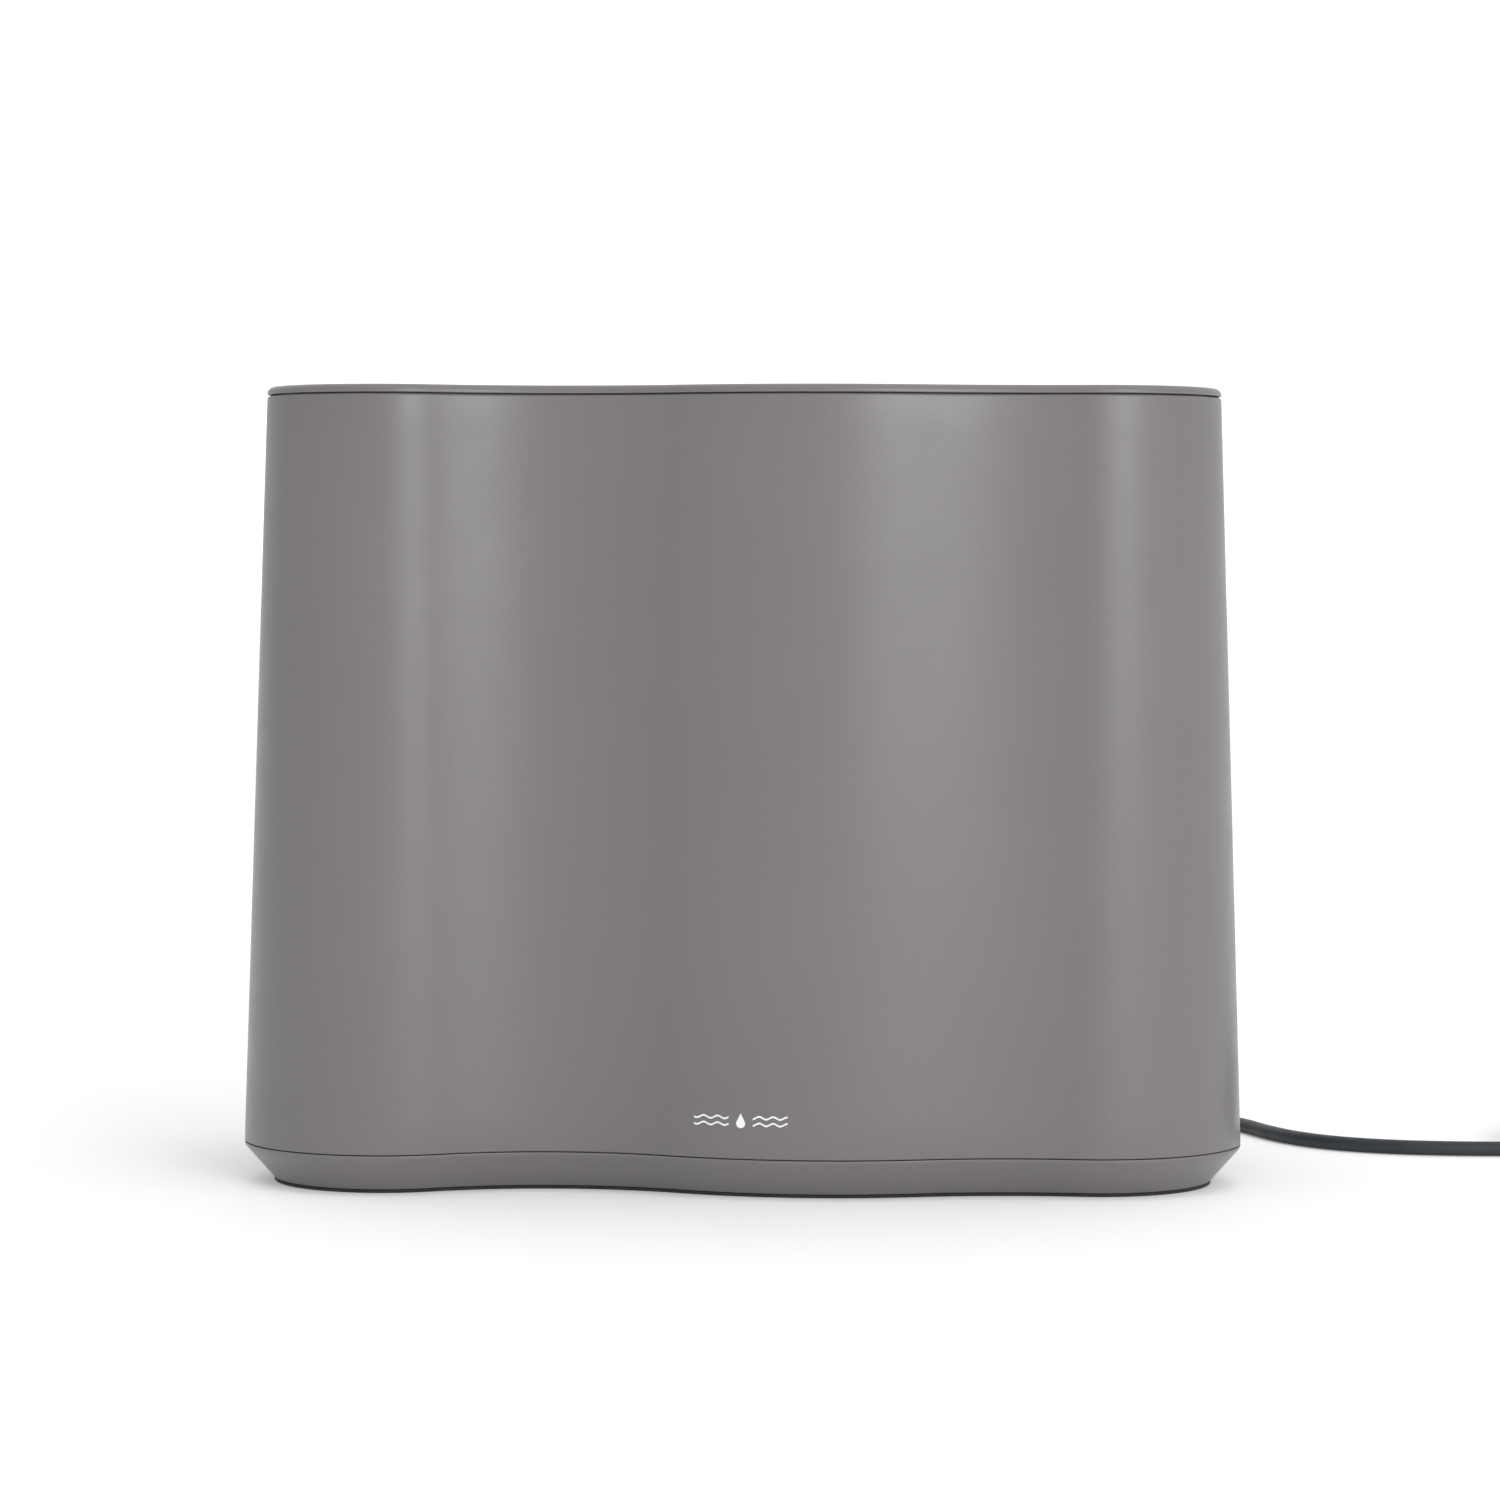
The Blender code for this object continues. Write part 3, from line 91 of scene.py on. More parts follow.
# Screws: (lobe, degrees) of the four in the shell's tabs, then the three in the tray's pillars
SHELL_SCREWS = ((FRONT_LEFT, 200), (FRONT_RIGHT, 340), (REAR_RIGHT, 20), (REAR_LEFT, 160))
TRAY_PILLARS = ((-100, -10), (55, -70), (45, 60))
SCREW_INSET, SCREW_HOLE, PILLAR_BOSS_TOP = 20, 2.2, 9
THREAD_PITCH = 1.1

# Tank, handle and valve
MIST_X, MIST_Y = 98, 2
TANK_BOTTOM, TANK_TOP, TANK_INSET, TANK_WALL = 72, 205, 14.5, 2.2
TANK_LEAN = 2.5 / (TANK_TOP - TANK_BOTTOM)
POCKET_RADIUS, POCKET_ROOF = 42, 110
CHIMNEY_RADIUS, CHIMNEY_TOP = 19, 255.5
HANDLE_Z, HANDLE_REACH, HANDLE_FRONT, HANDLE_REAR, HANDLE_ARM = 198, 52, -56.5, 60.5, 6.4
PIN_RADIUS = 2.5
PIN_HOLE = PIN_RADIUS + GAP
LUG_FRONT = ((-7, -80.9), (7, -84.4), (7, -60.2, 1.5), (-7, -60.2, 1.5))
LUG_REAR = ((-7, 64.2, 1.5), (7, 64.2, 1.5), (7, 86.5), (-7, 85.6))
VALVE_X, VALVE_Y = -45, 0
VALVE_FLANGE_LOW, VALVE_FLANGE_TOP, VALVE_SEAT, VALVE_NECK_TOP = 67.6, 70.2, 71.4, 92
STEM_RADIUS = 2
SPRING_TURNS, SPRING_RADIUS, SPRING_WIRE, SPRING_LOW, SPRING_HIGH = 4.5, 5, 0.45, 75.2, 87.1

# Basin, transducer, float and fan
TRAY_BOTTOM, TRAY_FLOOR, TRAY_TOP, TRAY_INSET, TRAY_WALL = 62, 64.5, 96, 6, 2.2
POST_FOOT = 63  # where a post on the tray's floor starts, inside the floor
TANK_RESTS = ((-120, -40), (-112, 36), (30, -70), (20, 70))
TRANSDUCER_X = 82
CLAMP_HOLE = 1.6
CLAMP_SCREWS = ((TRANSDUCER_X - 16.5, MIST_Y), (TRANSDUCER_X + 16.5, MIST_Y))
FLOAT_X, FLOAT_Y = 98, 32
FAN_X = 120
FAN_LOW, FAN_HIGH, FAN_SIZE, FAN_THROAT, FAN_BLADES = BASE_FLOOR + GAP, 24.6, 60, 28, 7
FAN_BORES = tuple((FAN_X + i * 25, MIST_Y + j * 25) for i in (-1, 1) for j in (-1, 1))

# Driver board
BOARD_Z, BOARD_TOP = 20, 21.6
BOARD_LOW, BOARD_HIGH, BOARD_MARGIN = (-60, -40), (20, 20), 5
CHOKE_X, CHOKE_Y, CHOKE_LOW, CHOKE_HIGH, CHOKE_WRAPS = -12, 2, BOARD_TOP + GAP, 29.5, 22
WIRE_RADIUS = 1.35
SUPPLY_ROUTE = (
    (81.2, 67.4, 26), (80.5, 59, 25), (72, 49, 22),
    (56, 39, 20), (38, 28, 21), (22.4, 16, 23),
)
DRIVE_ROUTE = (
    (82, 2, 60.4), (82, 2, 52), (76, 0, 42),
    (60, -5, 35), (42, -9, 28), (22.4, -11, 23),
)

# Rear controls and inlet
PANEL_X, PANEL_Z, PANEL_FACE_Y, PANEL_BACK_Y = 8, 38, 96, 90
PANEL_POSTS = (PANEL_X - 26.5, PANEL_X + 26.5)
BUTTON_RADIUS = 7
BUTTONS = (("power", PANEL_X - 15), ("mist", PANEL_X + 15))
CONTROL_BOARD_Y, CONTROL_BOARD_THICK = 82, 1.6
SWITCH_Y = CONTROL_BOARD_Y + CONTROL_BOARD_THICK + GAP
JACK_X, JACK_Z, JACK_FACE_Y = 81.2, 26, 86.3

# Low-voltage lead
LEAD_RADIUS = 2.6
PLUG_AXIS_Y, BARREL_END_Y, RELIEF_END_X, RELIEF_RINGS = 96.5, 73.5, 112, 7
LEAD_ROUTE = (
    (112.3, 96.5, 26), (121, 96.8, 25.4), (130, 98.2, 22.6), (139, 101.2, 17.6),
    (147, 104.6, 12), (154.5, 107.4, 7.4), (162, 108.9, 4.2), (170.5, 107.4, 2.8),
    (178.3, 103, 2.65), (184, 96.1, 2.65), (187.6, 88, 2.65), (190.4, 79, 2.65),
    (194, 69, 2.65), (199, 58.5, 2.65), (205.4, 49, 2.65), (213.2, 41, 2.65),
    (222.4, 34.8, 2.65), (233, 30.2, 2.65), (245, 27.2, 2.65), (258, 25.7, 2.65),
    (272, 25.4, 2.65), (286, 25.4, 2.7), (301.4, 25.4, 3),
)
COIL_X, COIL_Y = 322, 63.4
COIL_RADII = (38.2, 32.7, 27.2, 21.7)
COIL_HEIGHTS = (3.6, 8.85, 14.1)
COIL_TURNS, POINTS_PER_TURN = 8.25, 40
# Where the lead changes from one turn to its neighbour: (start, end) in turns from the coil's front
SHIFTS_IN = ((0.71, 0.86), (1.71, 1.86), (2.71, 2.86))
SHIFTS_OUT = ((4.43, 4.56), (5.43, 5.56), (6.43, 6.56))
FIRST_CLIMB, SECOND_CLIMB = (3.57, 3.70), (7.30, 7.42)
TIE_REACH, TIE_THICK, TIE_WIDTH, TIE_TURN = LEAD_RADIUS + 0.25, 0.6, 9, -40
TAIL_X, TAIL_Z, TAIL_END_Y = 360, 14, 91.7
ADAPTER_HALF, ADAPTER_FRONT, ADAPTER_BACK = 24.5, 110, 175
ADAPTER_LIFT, ADAPTER_TOP = 0.05, 28
BLADE_OFFSET, BLADE_THICK = 6.35, 1.5

# Colours, linear
GREY = (0.1655, 0.1546, 0.1568)
DARK = (0.022, 0.023, 0.026)
CLEAR_GREY = (0.5, 0.54, 0.58)
WHITE = (0.74, 0.74, 0.71)
LEAD_GREY = (0.026, 0.031, 0.036)
STEEL = (0.6, 0.6, 0.6)
ALUMINIUM = (0.72, 0.72, 0.74)
COPPER = (0.62, 0.24, 0.09)
GREEN = (0.012, 0.12, 0.05)
PALE = (0.9, 0.9, 0.9)

# Camera and studio, in metres
CAMERA_PLACE, CAMERA_TILT, CAMERA_ROLL, CAMERA_LENS = (0.0024, -1.625, 0.2109), 87.69, 0.14, 111.5
KEY_PLACE, KEY_AIM, KEY_SIZE, KEY_POWER = (0.8, -1.8, 0.75), (0, 0, 0.13), 0.8, 11
SKY = 1.3
# What dims the sky: (direction, cosine where it starts, cosine where it is full, brightness left)
FLAGS = (
    ((-0.77, -0.64, 0), -0.05, 0.8, 0.48),
    ((0.95, 0.3, 0), 0.2, 0.95, 0.6),
    ((-0.75, 0.66, 0), 0.7, 0.97, 0.55),
)


def at(x, y, z=0):
    return Matrix.Translation((x, y, z))


def turn(degrees, axis):
    return Matrix.Rotation(radians(degrees), 4, axis)


MIST_AXIS, VALVE_AXIS, FLOAT_AXIS = at(MIST_X, MIST_Y), at(VALVE_X, VALVE_Y), at(FLOAT_X, FLOAT_Y)
TRANSDUCER_AXIS, FAN_AXIS = at(TRANSDUCER_X, MIST_Y), at(FAN_X, MIST_Y)


def linked(name, data):
    """A new object in the scene."""
    obj = bpy.data.objects.new(name, data)
    bpy.context.scene.collection.objects.link(obj)
    return obj


# ---- camera


def make_camera():
    camera = linked("camera", bpy.data.cameras.new("camera"))
    camera.matrix_world = at(*CAMERA_PLACE) @ turn(CAMERA_TILT, "X") @ turn(CAMERA_ROLL, "Z")
    camera.data.sensor_width = 36
    camera.data.lens = CAMERA_LENS
    camera.data.clip_start = 0.05
    bpy.context.scene.camera = camera


make_camera()


# ---- materials


class Surface:
    """A Principled material whose colour, roughness and bump vary over the surface."""

    def __init__(self, name, colour, roughness, **sockets):
        self.material = bpy.data.materials.new(name)
        self.material.use_nodes = True
        self.tree = self.material.node_tree
        self.shader = self.tree.nodes["Principled BSDF"]
        self.colour = colour
        self.shader.inputs["Base Color"].default_value = (*colour, 1)
        self.shader.inputs["Roughness"].default_value = roughness
        for socket, value in sockets.items():
            self.shader.inputs[socket.replace("_", " ")].default_value = value
        self.place = self.node("ShaderNodeTexCoord").outputs["Object"]

    def node(self, kind, source=None, **values):
        """A new node that reads the source with its first input."""
        made = new_node(self.tree, kind, **values)
        if source:
            self.tree.links.new(source, made.inputs[0])
        return made

    def noise(self, size, detail, stretch=None):
        """Soft noise whose blotches are about size millimetres across."""
        place = self.place
        if stretch:
            place = self.node("ShaderNodeMapping", place, Scale=stretch).outputs["Vector"]
        noise = self.node("ShaderNodeTexNoise", place, Scale=1 / (size * MM), Detail=detail)
        return noise.outputs["Fac"]

    def ranged(self, value, low, high, start=0.25, end=0.75):
        values = {"From_Min": start, "From_Max": end, "To_Min": low, "To_Max": high}
        return self.node("ShaderNodeMapRange", value, **values).outputs["Result"]

    def mix_in(self, share, factor):
        """Mixes the colour so far towards a lighter or darker one by a share from 0 to 1."""
        mix = self.node("ShaderNodeMix", data_type="RGBA")
        self.tree.links.new(share, mix.inputs["Factor"])
        base = self.shader.inputs["Base Color"]
        if base.is_linked:
            self.tree.links.new(base.links[0].from_socket, mix.inputs[6])
        else:
            mix.inputs[6].default_value = (*self.colour, 1)
        mix.inputs[7].default_value = (*[min(1, channel * factor) for channel in self.colour], 1)
        self.tree.links.new(mix.outputs[2], base)

    def varied(self, tints, rough=None, stretch=None):
        """Adds tints (size, detail, factor, amount) and a roughness (size, detail, low, high)."""
        for size, detail, factor, amount in tints:
            self.mix_in(self.ranged(self.noise(size, detail), 0, amount), factor)
        if rough:
            value = self.ranged(self.noise(*rough[:2], stretch), *rough[2:])
            self.tree.links.new(value, self.shader.inputs["Roughness"])
        return self

    def wear(self, factor, amount):
        """Lightens the sharp edges a little, as handling does."""
        edge = self.node("ShaderNodeNewGeometry").outputs["Pointiness"]
        self.mix_in(self.ranged(edge, 0, amount, 0.52, 0.6), factor)
        return self

    def bump(self, value, height):
        """Raises the surface by up to height millimetres and gives the finished material."""
        made = self.node("ShaderNodeBump", Distance=height * MM, Strength=1)
        self.tree.links.new(value, made.inputs["Height"])
        self.tree.links.new(made.outputs["Normal"], self.shader.inputs["Normal"])
        return self.material

    def grain(self, size, detail, height, stretch=None):
        return self.bump(self.noise(size, detail, stretch), height)


def new_node(tree, kind, **values):
    """A new shader node, with settings by their own names and sockets with _ for a space."""
    made = tree.nodes.new(kind)
    for key, value in values.items():
        if hasattr(made, key):
            setattr(made, key, value)
        else:
            made.inputs[key.replace("_", " ")].default_value = value
    return made


def case_plastic():
    """Satin grey moulding with a fine spark-eroded grain."""
    made = Surface("case_plastic", GREY, 0.35, Specular_IOR_Level=0.5)
    made.varied(((55, 2, 1.06, 1), (0.7, 1, 0.93, 0.5)), (18, 3, 0.31, 0.38))
    return made.wear(1.5, 0.5).grain(0.45, 1.5, 0.012)


def inner_plastic():
    made = Surface("inner_plastic", WHITE, 0.38, Subsurface_Weight=0.12, Subsurface_Scale=0.002)
    return made.varied(((30, 3, 0.93, 1),), (9, 3, 0.3, 0.46)).grain(0.8, 2, 0.01)


def tank_plastic():
    """Smoke-tinted clear moulding with faint flow lines."""
    made = Surface("tank_plastic", CLEAR_GREY, 0.16, Transmission_Weight=0.82, IOR=1.49)
    made.varied(((40, 2, 0.86, 1),), (14, 4, 0.1, 0.24))
    return made.grain(6, 2, 0.03, (1, 1, 0.15))


def dark_rubber():
    made = Surface("dark_rubber", DARK, 0.75, Sheen_Weight=0.05, Specular_IOR_Level=0.3)
    made.varied(((6, 4, 1.5, 0.8),), (2, 3, 0.62, 0.85))
    cells = made.node("ShaderNodeTexVoronoi", made.place, Scale=1 / (0.5 * MM))
    return made.bump(cells.outputs["Distance"], 0.02)


def dark_plastic():
    made = Surface("dark_plastic", DARK, 0.4).varied(((12, 3, 1.7, 0.9),), (5, 3, 0.3, 0.5))
    return made.wear(5, 0.6).grain(0.4, 2, 0.012)


def lead_jacket():
    made = Surface("lead_jacket", LEAD_GREY, 0.5, Specular_IOR_Level=0.35)
    return made.varied(((15, 3, 1.35, 0.9),), (4, 3, 0.45, 0.6)).grain(0.6, 2, 0.02)


def brushed(name, colour, stretch):
    made = Surface(name, colour, 0.3, Metallic=1)
    made.varied(((8, 3, 0.8, 0.8),), (1.2, 4, 0.2, 0.42), stretch)
    return made.grain(0.35, 3, 0.008, stretch)


def copper():
    made = Surface("copper", COPPER, 0.3, Metallic=0.85, Coat_Weight=0.5, Coat_Roughness=0.12)
    return made.varied(((3, 3, 0.6, 0.8),)).grain(0.5, 2, 0.02)


def board_laminate():
    """Solder mask over etched copper: paler tracks show through the green."""
    made = Surface("board_laminate", GREEN, 0.32, Coat_Weight=0.4, Coat_Roughness=0.2)
    sizes = {"Scale": 1 / (7 * MM), "Mortar_Size": 0.04, "Mortar_Smooth": 0.1}
    tracks = made.node("ShaderNodeTexBrick", made.place, **sizes).outputs["Fac"]
    made.mix_in(made.ranged(tracks, 0, 0.9), 2.6)
    return made.varied(((10, 4, 0.6, 0.8),), (4, 3, 0.25, 0.42)).bump(tracks, 0.03)


def print_white():
    return Surface("print_white", PALE, 0.5).varied(((0.6, 3, 0.911, 0.6),)).grain(0.3, 2, 0.005)


def studio_paper():
    made = Surface("studio_paper", PALE, 0.9, Emission_Strength=0.15)
    return made.varied(((400, 2, 0.99, 1),)).grain(2, 2, 0.02)


LOOKS = {
    "case": case_plastic(),
    "inner_plastic": inner_plastic(),
    "tank_plastic": tank_plastic(),
    "dark_rubber": dark_rubber(),
    "dark_plastic": dark_plastic(),
    "lead_jacket": lead_jacket(),
    "steel": brushed("steel", STEEL, (1, 1, 6)),
    "aluminium": brushed("aluminium", ALUMINIUM, (6, 1, 1)),
    "copper": copper(),
    "board": board_laminate(),
    "print_white": print_white(),
}


# ---- plan outline


def polar(centre, radius, angle):
    return centre[0] + radius * cos(angle), centre[1] + radius * sin(angle)


def hollow_centre(lobe, following):
    """Centre of the arc that touches two neighbouring lobes from outside."""
    x, y, radius, hollow = lobe
    span_x, span_y = following[0] - x, following[1] - y
    span = hypot(span_x, span_y)
    near, far = radius + hollow, following[2] + hollow
    along = (span * span + near * near - far * far) / (2 * span)
    aside = sqrt(near * near - along * along)
    unit_x, unit_y = span_x / span, span_y / span
    return x + unit_x * along + unit_y * aside, y + unit_y * along - unit_x * aside


def arc_points(centre, radius, start, sweep, count):
    """Points along an arc, leaving out its last one."""
    return [polar(centre, radius, start + sweep * i / count) for i in range(count)]


def outline(inset):
    """The plan outline, moved in by inset. Every inset gives the same number of points."""
    points = []
    hollows = [hollow_centre(*pair) for pair in zip(LOBES, LOBES[1:] + LOBES[:1])]
    for i, (x, y, radius, hollow) in enumerate(LOBES):
        before, after = hollows[i - 1], hollows[i]
        start = atan2(before[1] - y, before[0] - x)
        sweep = (atan2(after[1] - y, after[0] - x) - start) % (2 * pi)
        count = ceil(radius * sweep / OUTLINE_STEP)
        points += arc_points((x, y), radius - inset, start, sweep, count)
        next_x, next_y = LOBES[(i + 1) % len(LOBES)][:2]
        start = atan2(y - after[1], x - after[0])
        sweep = (start - atan2(next_y - after[1], next_x - after[0])) % (2 * pi)
        count = ceil(hollow * sweep / OUTLINE_STEP)
        points += arc_points(after, hollow + inset, start, -sweep, count)
    return points


def wall_inset(z):
    return DRAFT * (z - SEAM_Z)


def lobe_point(lobe, degrees, inset):
    x, y, radius, _ = LOBES[lobe]
    return polar((x, y), radius - inset, radians(degrees))


def spaced_round(x, y, radius, count, first=0):
    """Places at even steps on a circle, from a direction in degrees."""
    return [polar((x, y), radius, radians(first + 360 / count * i)) for i in range(count)]


# ---- profiles


def filleted(corners, steps=4):
    """Corners given as (u, v) or (u, v, radius), each one with a radius turned into an arc."""
    points = []
    for i, corner in enumerate(corners):
        here = Vector(corner[:2])
        radius = corner[2] if len(corner) > 2 else 0
        if not radius:
            points.append(here)
            continue
        back = Vector(corners[i - 1][:2]) - here
        ahead = Vector(corners[(i + 1) % len(corners)][:2]) - here
        half = back.angle(ahead) / 2
        reach = min(radius / tan(half), 0.49 * back.length, 0.49 * ahead.length)
        radius = reach * tan(half)
        towards = (back.normalized() + ahead.normalized()).normalized()
        middle = here + towards * (radius / sin(half))
        first = here + back.normalized() * reach - middle
        last = here + ahead.normalized() * reach - middle
        for k in range(steps + 1):
            points.append(middle + first.lerp(last, k / steps).normalized() * radius)
    return points


def rectangle(width, height, radius, steps):
    w, h = width / 2, height / 2
    return filleted([(-w, -h, radius), (w, -h, radius), (w, h, radius), (-w, h, radius)], steps)


def evenly(low, high, step):
    count = max(1, round(abs(high - low) / step))
    return [low + (high - low) * i / count for i in range(count + 1)]


def eased(t, start, end):
    """0 before start, 1 after end, and a smooth step between them."""
    share = min(1, max(0, (t - start) / (end - start)))
    return share * share * (3 - 2 * share)


# ---- shapes, as bmeshes in millimetres


def face_outward(bm):
    bmesh.ops.recalc_face_normals(bm, faces=bm.faces)
    return bm


def moved(bm, matrix):
    bmesh.ops.transform(bm, verts=bm.verts, matrix=matrix)
    return bm


def bridge(bm, low, high):
    for i in range(len(low)):
        j = (i + 1) % len(low)
        bm.faces.new((low[i], low[j], high[j], high[i]))


def cap(bm, first, last):
    bm.faces.new(list(reversed(first)))
    bm.faces.new(last)


def loft(rings, ring_shaped=False):
    """A closed body through outlines given as (inset, z), its ends capped or joined together."""
    bm = bmesh.new()
    loops = [[bm.verts.new((x, y, z)) for x, y in outline(inset)] for inset, z in rings]
    for low, high in zip(loops, loops[1:]):
        bridge(bm, low, high)
    if ring_shaped:
        bridge(bm, loops[-1], loops[0])
    else:
        cap(bm, loops[0], loops[-1])
    return bm


def lathe(corners, place, steps=4, sides=72, ribs=None):
    """Turns a closed profile about the local Z of a place.

    ribs is (count, depth, least radius): upright grooves in whatever lies beyond that radius.
    """
    bm = bmesh.new()
    rings = []
    for radius, height in filleted(corners, steps):
        if radius < 1e-6:
            rings.append([bm.verts.new((0, 0, height))])
            continue
        ring = []
        for i in range(sides):
            angle = 2 * pi * i / sides
            reach = radius
            if ribs and radius > ribs[2]:
                reach -= ribs[1] * (0.5 - 0.5 * cos(ribs[0] * angle))
            ring.append(bm.verts.new((*polar((0, 0), reach, angle), height)))
        rings.append(ring)
    for low, high in zip(rings, rings[1:] + rings[:1]):
        if len(low) == 1 and len(high) == 1:
            continue
        for i in range(sides):
            j = (i + 1) % sides
            quad = (low[i % len(low)], low[j % len(low)], high[j % len(high)], high[i % len(high)])
            bm.faces.new(list(dict.fromkeys(quad)))
    return moved(face_outward(bm), place)


def prism(points, depth, place=None, edge=0, segments=3):
    """An outline in the local XY plane, pushed along local Z by depth, its end rims rounded."""
    bm = bmesh.new()
    low = [bm.verts.new((p[0], p[1], 0)) for p in points]
    high = [bm.verts.new((p[0], p[1], depth)) for p in points]
    caps = [bm.faces.new(list(reversed(low))), bm.faces.new(high)]
    bridge(bm, low, high)
    if edge:
        rims = [e for face in caps for e in face.edges]
        bmesh.ops.bevel(bm, geom=rims, offset=edge, segments=segments, profile=0.5, affect="EDGES")
    return moved(bm, place) if place else bm


def block(low, high, rounding, segments=3):
    bm = bmesh.new()
    bmesh.ops.create_cube(bm, size=1)
    low, high = Vector(low), Vector(high)
    bmesh.ops.scale(bm, verts=bm.verts, vec=high - low)
    bmesh.ops.translate(bm, verts=bm.verts, vec=(low + high) / 2)
    edges = bm.edges[:]
    bmesh.ops.bevel(bm, geom=edges, offset=rounding, segments=segments, profile=0.5, affect="EDGES")
    return bm


def rod(start, end, radius, sides=40):
    start, end = Vector(start), Vector(end)
    bm = bmesh.new()
    sizes = {"radius1": radius, "radius2": radius, "depth": (end - start).length}
    bmesh.ops.create_cone(bm, cap_ends=True, segments=sides, **sizes)
    aim = (end - start).to_track_quat("Z", "Y").to_matrix().to_4x4()
    return moved(bm, at(*((start + end) / 2)) @ aim)


def uprights(places, low, high, radius, sides):
    return [rod((x, y, low), (x, y, high), radius, sides) for x, y in places]


def towards_back(xs, z, low, high, radius, sides=40):
    """Rods along Y at one height."""
    return [rod((x, low, z), (x, high, z), radius, sides) for x in xs]


def rounded_post(x, y, top, radius):
    corners = ((0, top), (radius, top, min(0.8, radius / 3)), (radius, POST_FOOT), (0, POST_FOOT))
    return lathe(corners, at(x, y), sides=40)


def gathered(parts):
    """Several separate bodies in one bmesh."""
    whole = bmesh.new()
    for part in parts:
        mesh = mesh_of(part, "part")
        whole.from_mesh(mesh)
        bpy.data.meshes.remove(mesh)
    return whole


def facing_back(x, y, z):
    """Local Z to +Y, local X to -X and local Y to +Z, at a point."""
    return at(x, y, z) @ Matrix(((-1, 0, 0, 0), (0, 0, 1, 0), (0, 1, 0, 0), (0, 0, 0, 1)))


def lying_back(x, y, z):
    """Local Z to +Y by a quarter turn about X, at a point."""
    return at(x, y, z) @ turn(-90, "X")


def mesh_of(bm, name):
    mesh = bpy.data.meshes.new(name)
    bm.to_mesh(mesh)
    bm.free()
    return mesh


class Piece:
    """A shape being made for one CAD node, which other shapes may join or cut."""

    def __init__(self, node, bm, name=None):
        self.node = node
        self.name = name or f"{node}_visual"
        self.obj = linked(self.name, mesh_of(bm, self.name))

    def combine(self, parts, operation):
        tool = gathered(parts) if isinstance(parts, list) else parts
        other = linked("tool", mesh_of(tool, "tool"))
        boolean = self.obj.modifiers.new("combine", "BOOLEAN")
        boolean.operation = operation
        boolean.solver = "EXACT"
        boolean.object = other
        graph = bpy.context.evaluated_depsgraph_get()
        result = bpy.data.meshes.new_from_object(self.obj.evaluated_get(graph))
        self.obj.modifiers.clear()
        spent = self.obj.data
        self.obj.data = result
        bpy.data.meshes.remove(spent)
        bpy.data.objects.remove(other)
        return self

    def join(self, parts):
        return self.combine(parts, "UNION")

    def cut(self, parts):
        return self.combine(parts, "DIFFERENCE")

    def taken(self):
        """The shape as a bmesh, for use in another piece."""
        bm = bmesh.new()
        bm.from_mesh(self.obj.data)
        bpy.data.objects.remove(self.obj)
        return bm

    def done(self, look):
        """Finishes the piece and lets it stand for its node."""
        self.finish(look)
        stand_for(self.obj, look, self.node)

    def beside_body(self, body, slot, look=None):
        """Finishes a small extra piece that rides on a body and stands for no node."""
        self.finish(look or slot)
        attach(self.obj, body)

    def finish(self, look):
        """Scales the mesh to metres and gives it its look."""
        mesh = self.obj.data
        mesh.transform(Matrix.Scale(MM, 4))
        mesh.materials.clear()
        mesh.materials.append(LOOKS[look])
        mesh.shade_smooth()
        mesh.set_sharp_from_angle(angle=radians(SMOOTH_ANGLE))
        mesh.name = self.name


def stand_for(obj, look, *nodes):
    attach(obj, BODY_OF[nodes[0]])
    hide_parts(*nodes)


def turned(node, look, corners, place, **options):
    """A finished piece that is one plain lathe shape."""
    Piece(node, lathe(corners, place, **options)).done(look)


# ---- the lead


def smooth_path(route, spacing):
    """Points every spacing or so on a smooth curve through the route's points."""
    points = [Vector(p) for p in route]
    points = [2 * points[0] - points[1], *points, 2 * points[-1] - points[-2]]
    path = []
    for i in range(1, len(points) - 2):
        before, start, end, after = points[i - 1 : i + 3]
        count = max(1, round((end - start).length / spacing))
        for k in range(count):
            t = k / count
            linear = (end - before) * t
            square = (2 * before - 5 * start + 4 * end - after) * t * t
            cubic = (3 * start - before - 3 * end + after) * t * t * t
            path.append(0.5 * (2 * start + linear + square + cubic))
    path.append(points[-2])
    return path


def coil_point(t):
    """The lead's middle after t turns: four turns inward, four outward on them, and one on top."""
    pitch = COIL_RADII[0] - COIL_RADII[1]
    inward = sum(eased(t, *shift) for shift in SHIFTS_IN)
    outward = sum(eased(t, *shift) for shift in SHIFTS_OUT)
    radius = COIL_RADII[0] - pitch * (inward - outward)
    layer = COIL_HEIGHTS[1] - COIL_HEIGHTS[0]
    height = COIL_HEIGHTS[0] + layer * (eased(t, *FIRST_CLIMB) + eased(t, *SECOND_CLIMB))
    return Vector((*polar((COIL_X, COIL_Y), radius, 2 * pi * (t - 0.25)), height))


def lead_path():
    run = smooth_path(LEAD_ROUTE, 3)
    coil = [coil_point(i / POINTS_PER_TURN) for i in range(round(COIL_TURNS * POINTS_PER_TURN) + 1)]
    tail = [(TAIL_X, y, TAIL_Z) for y in evenly(coil[-1].y + 6, TAIL_END_Y, 4)]
    return run + coil + tail


def curve_piece(name, path, radius, resolution=5):
    curve = bpy.data.curves.new(name, "CURVE")
    curve.dimensions = "3D"
    curve.bevel_depth = radius * MM
    curve.bevel_resolution = resolution
    curve.use_fill_caps = True
    spline = curve.splines.new("POLY")
    spline.points.add(len(path) - 1)
    for spot, point in zip(spline.points, path):
        spot.co = (*(Vector(point) * MM), 1)
    spline.use_smooth = True
    return linked(name, curve)


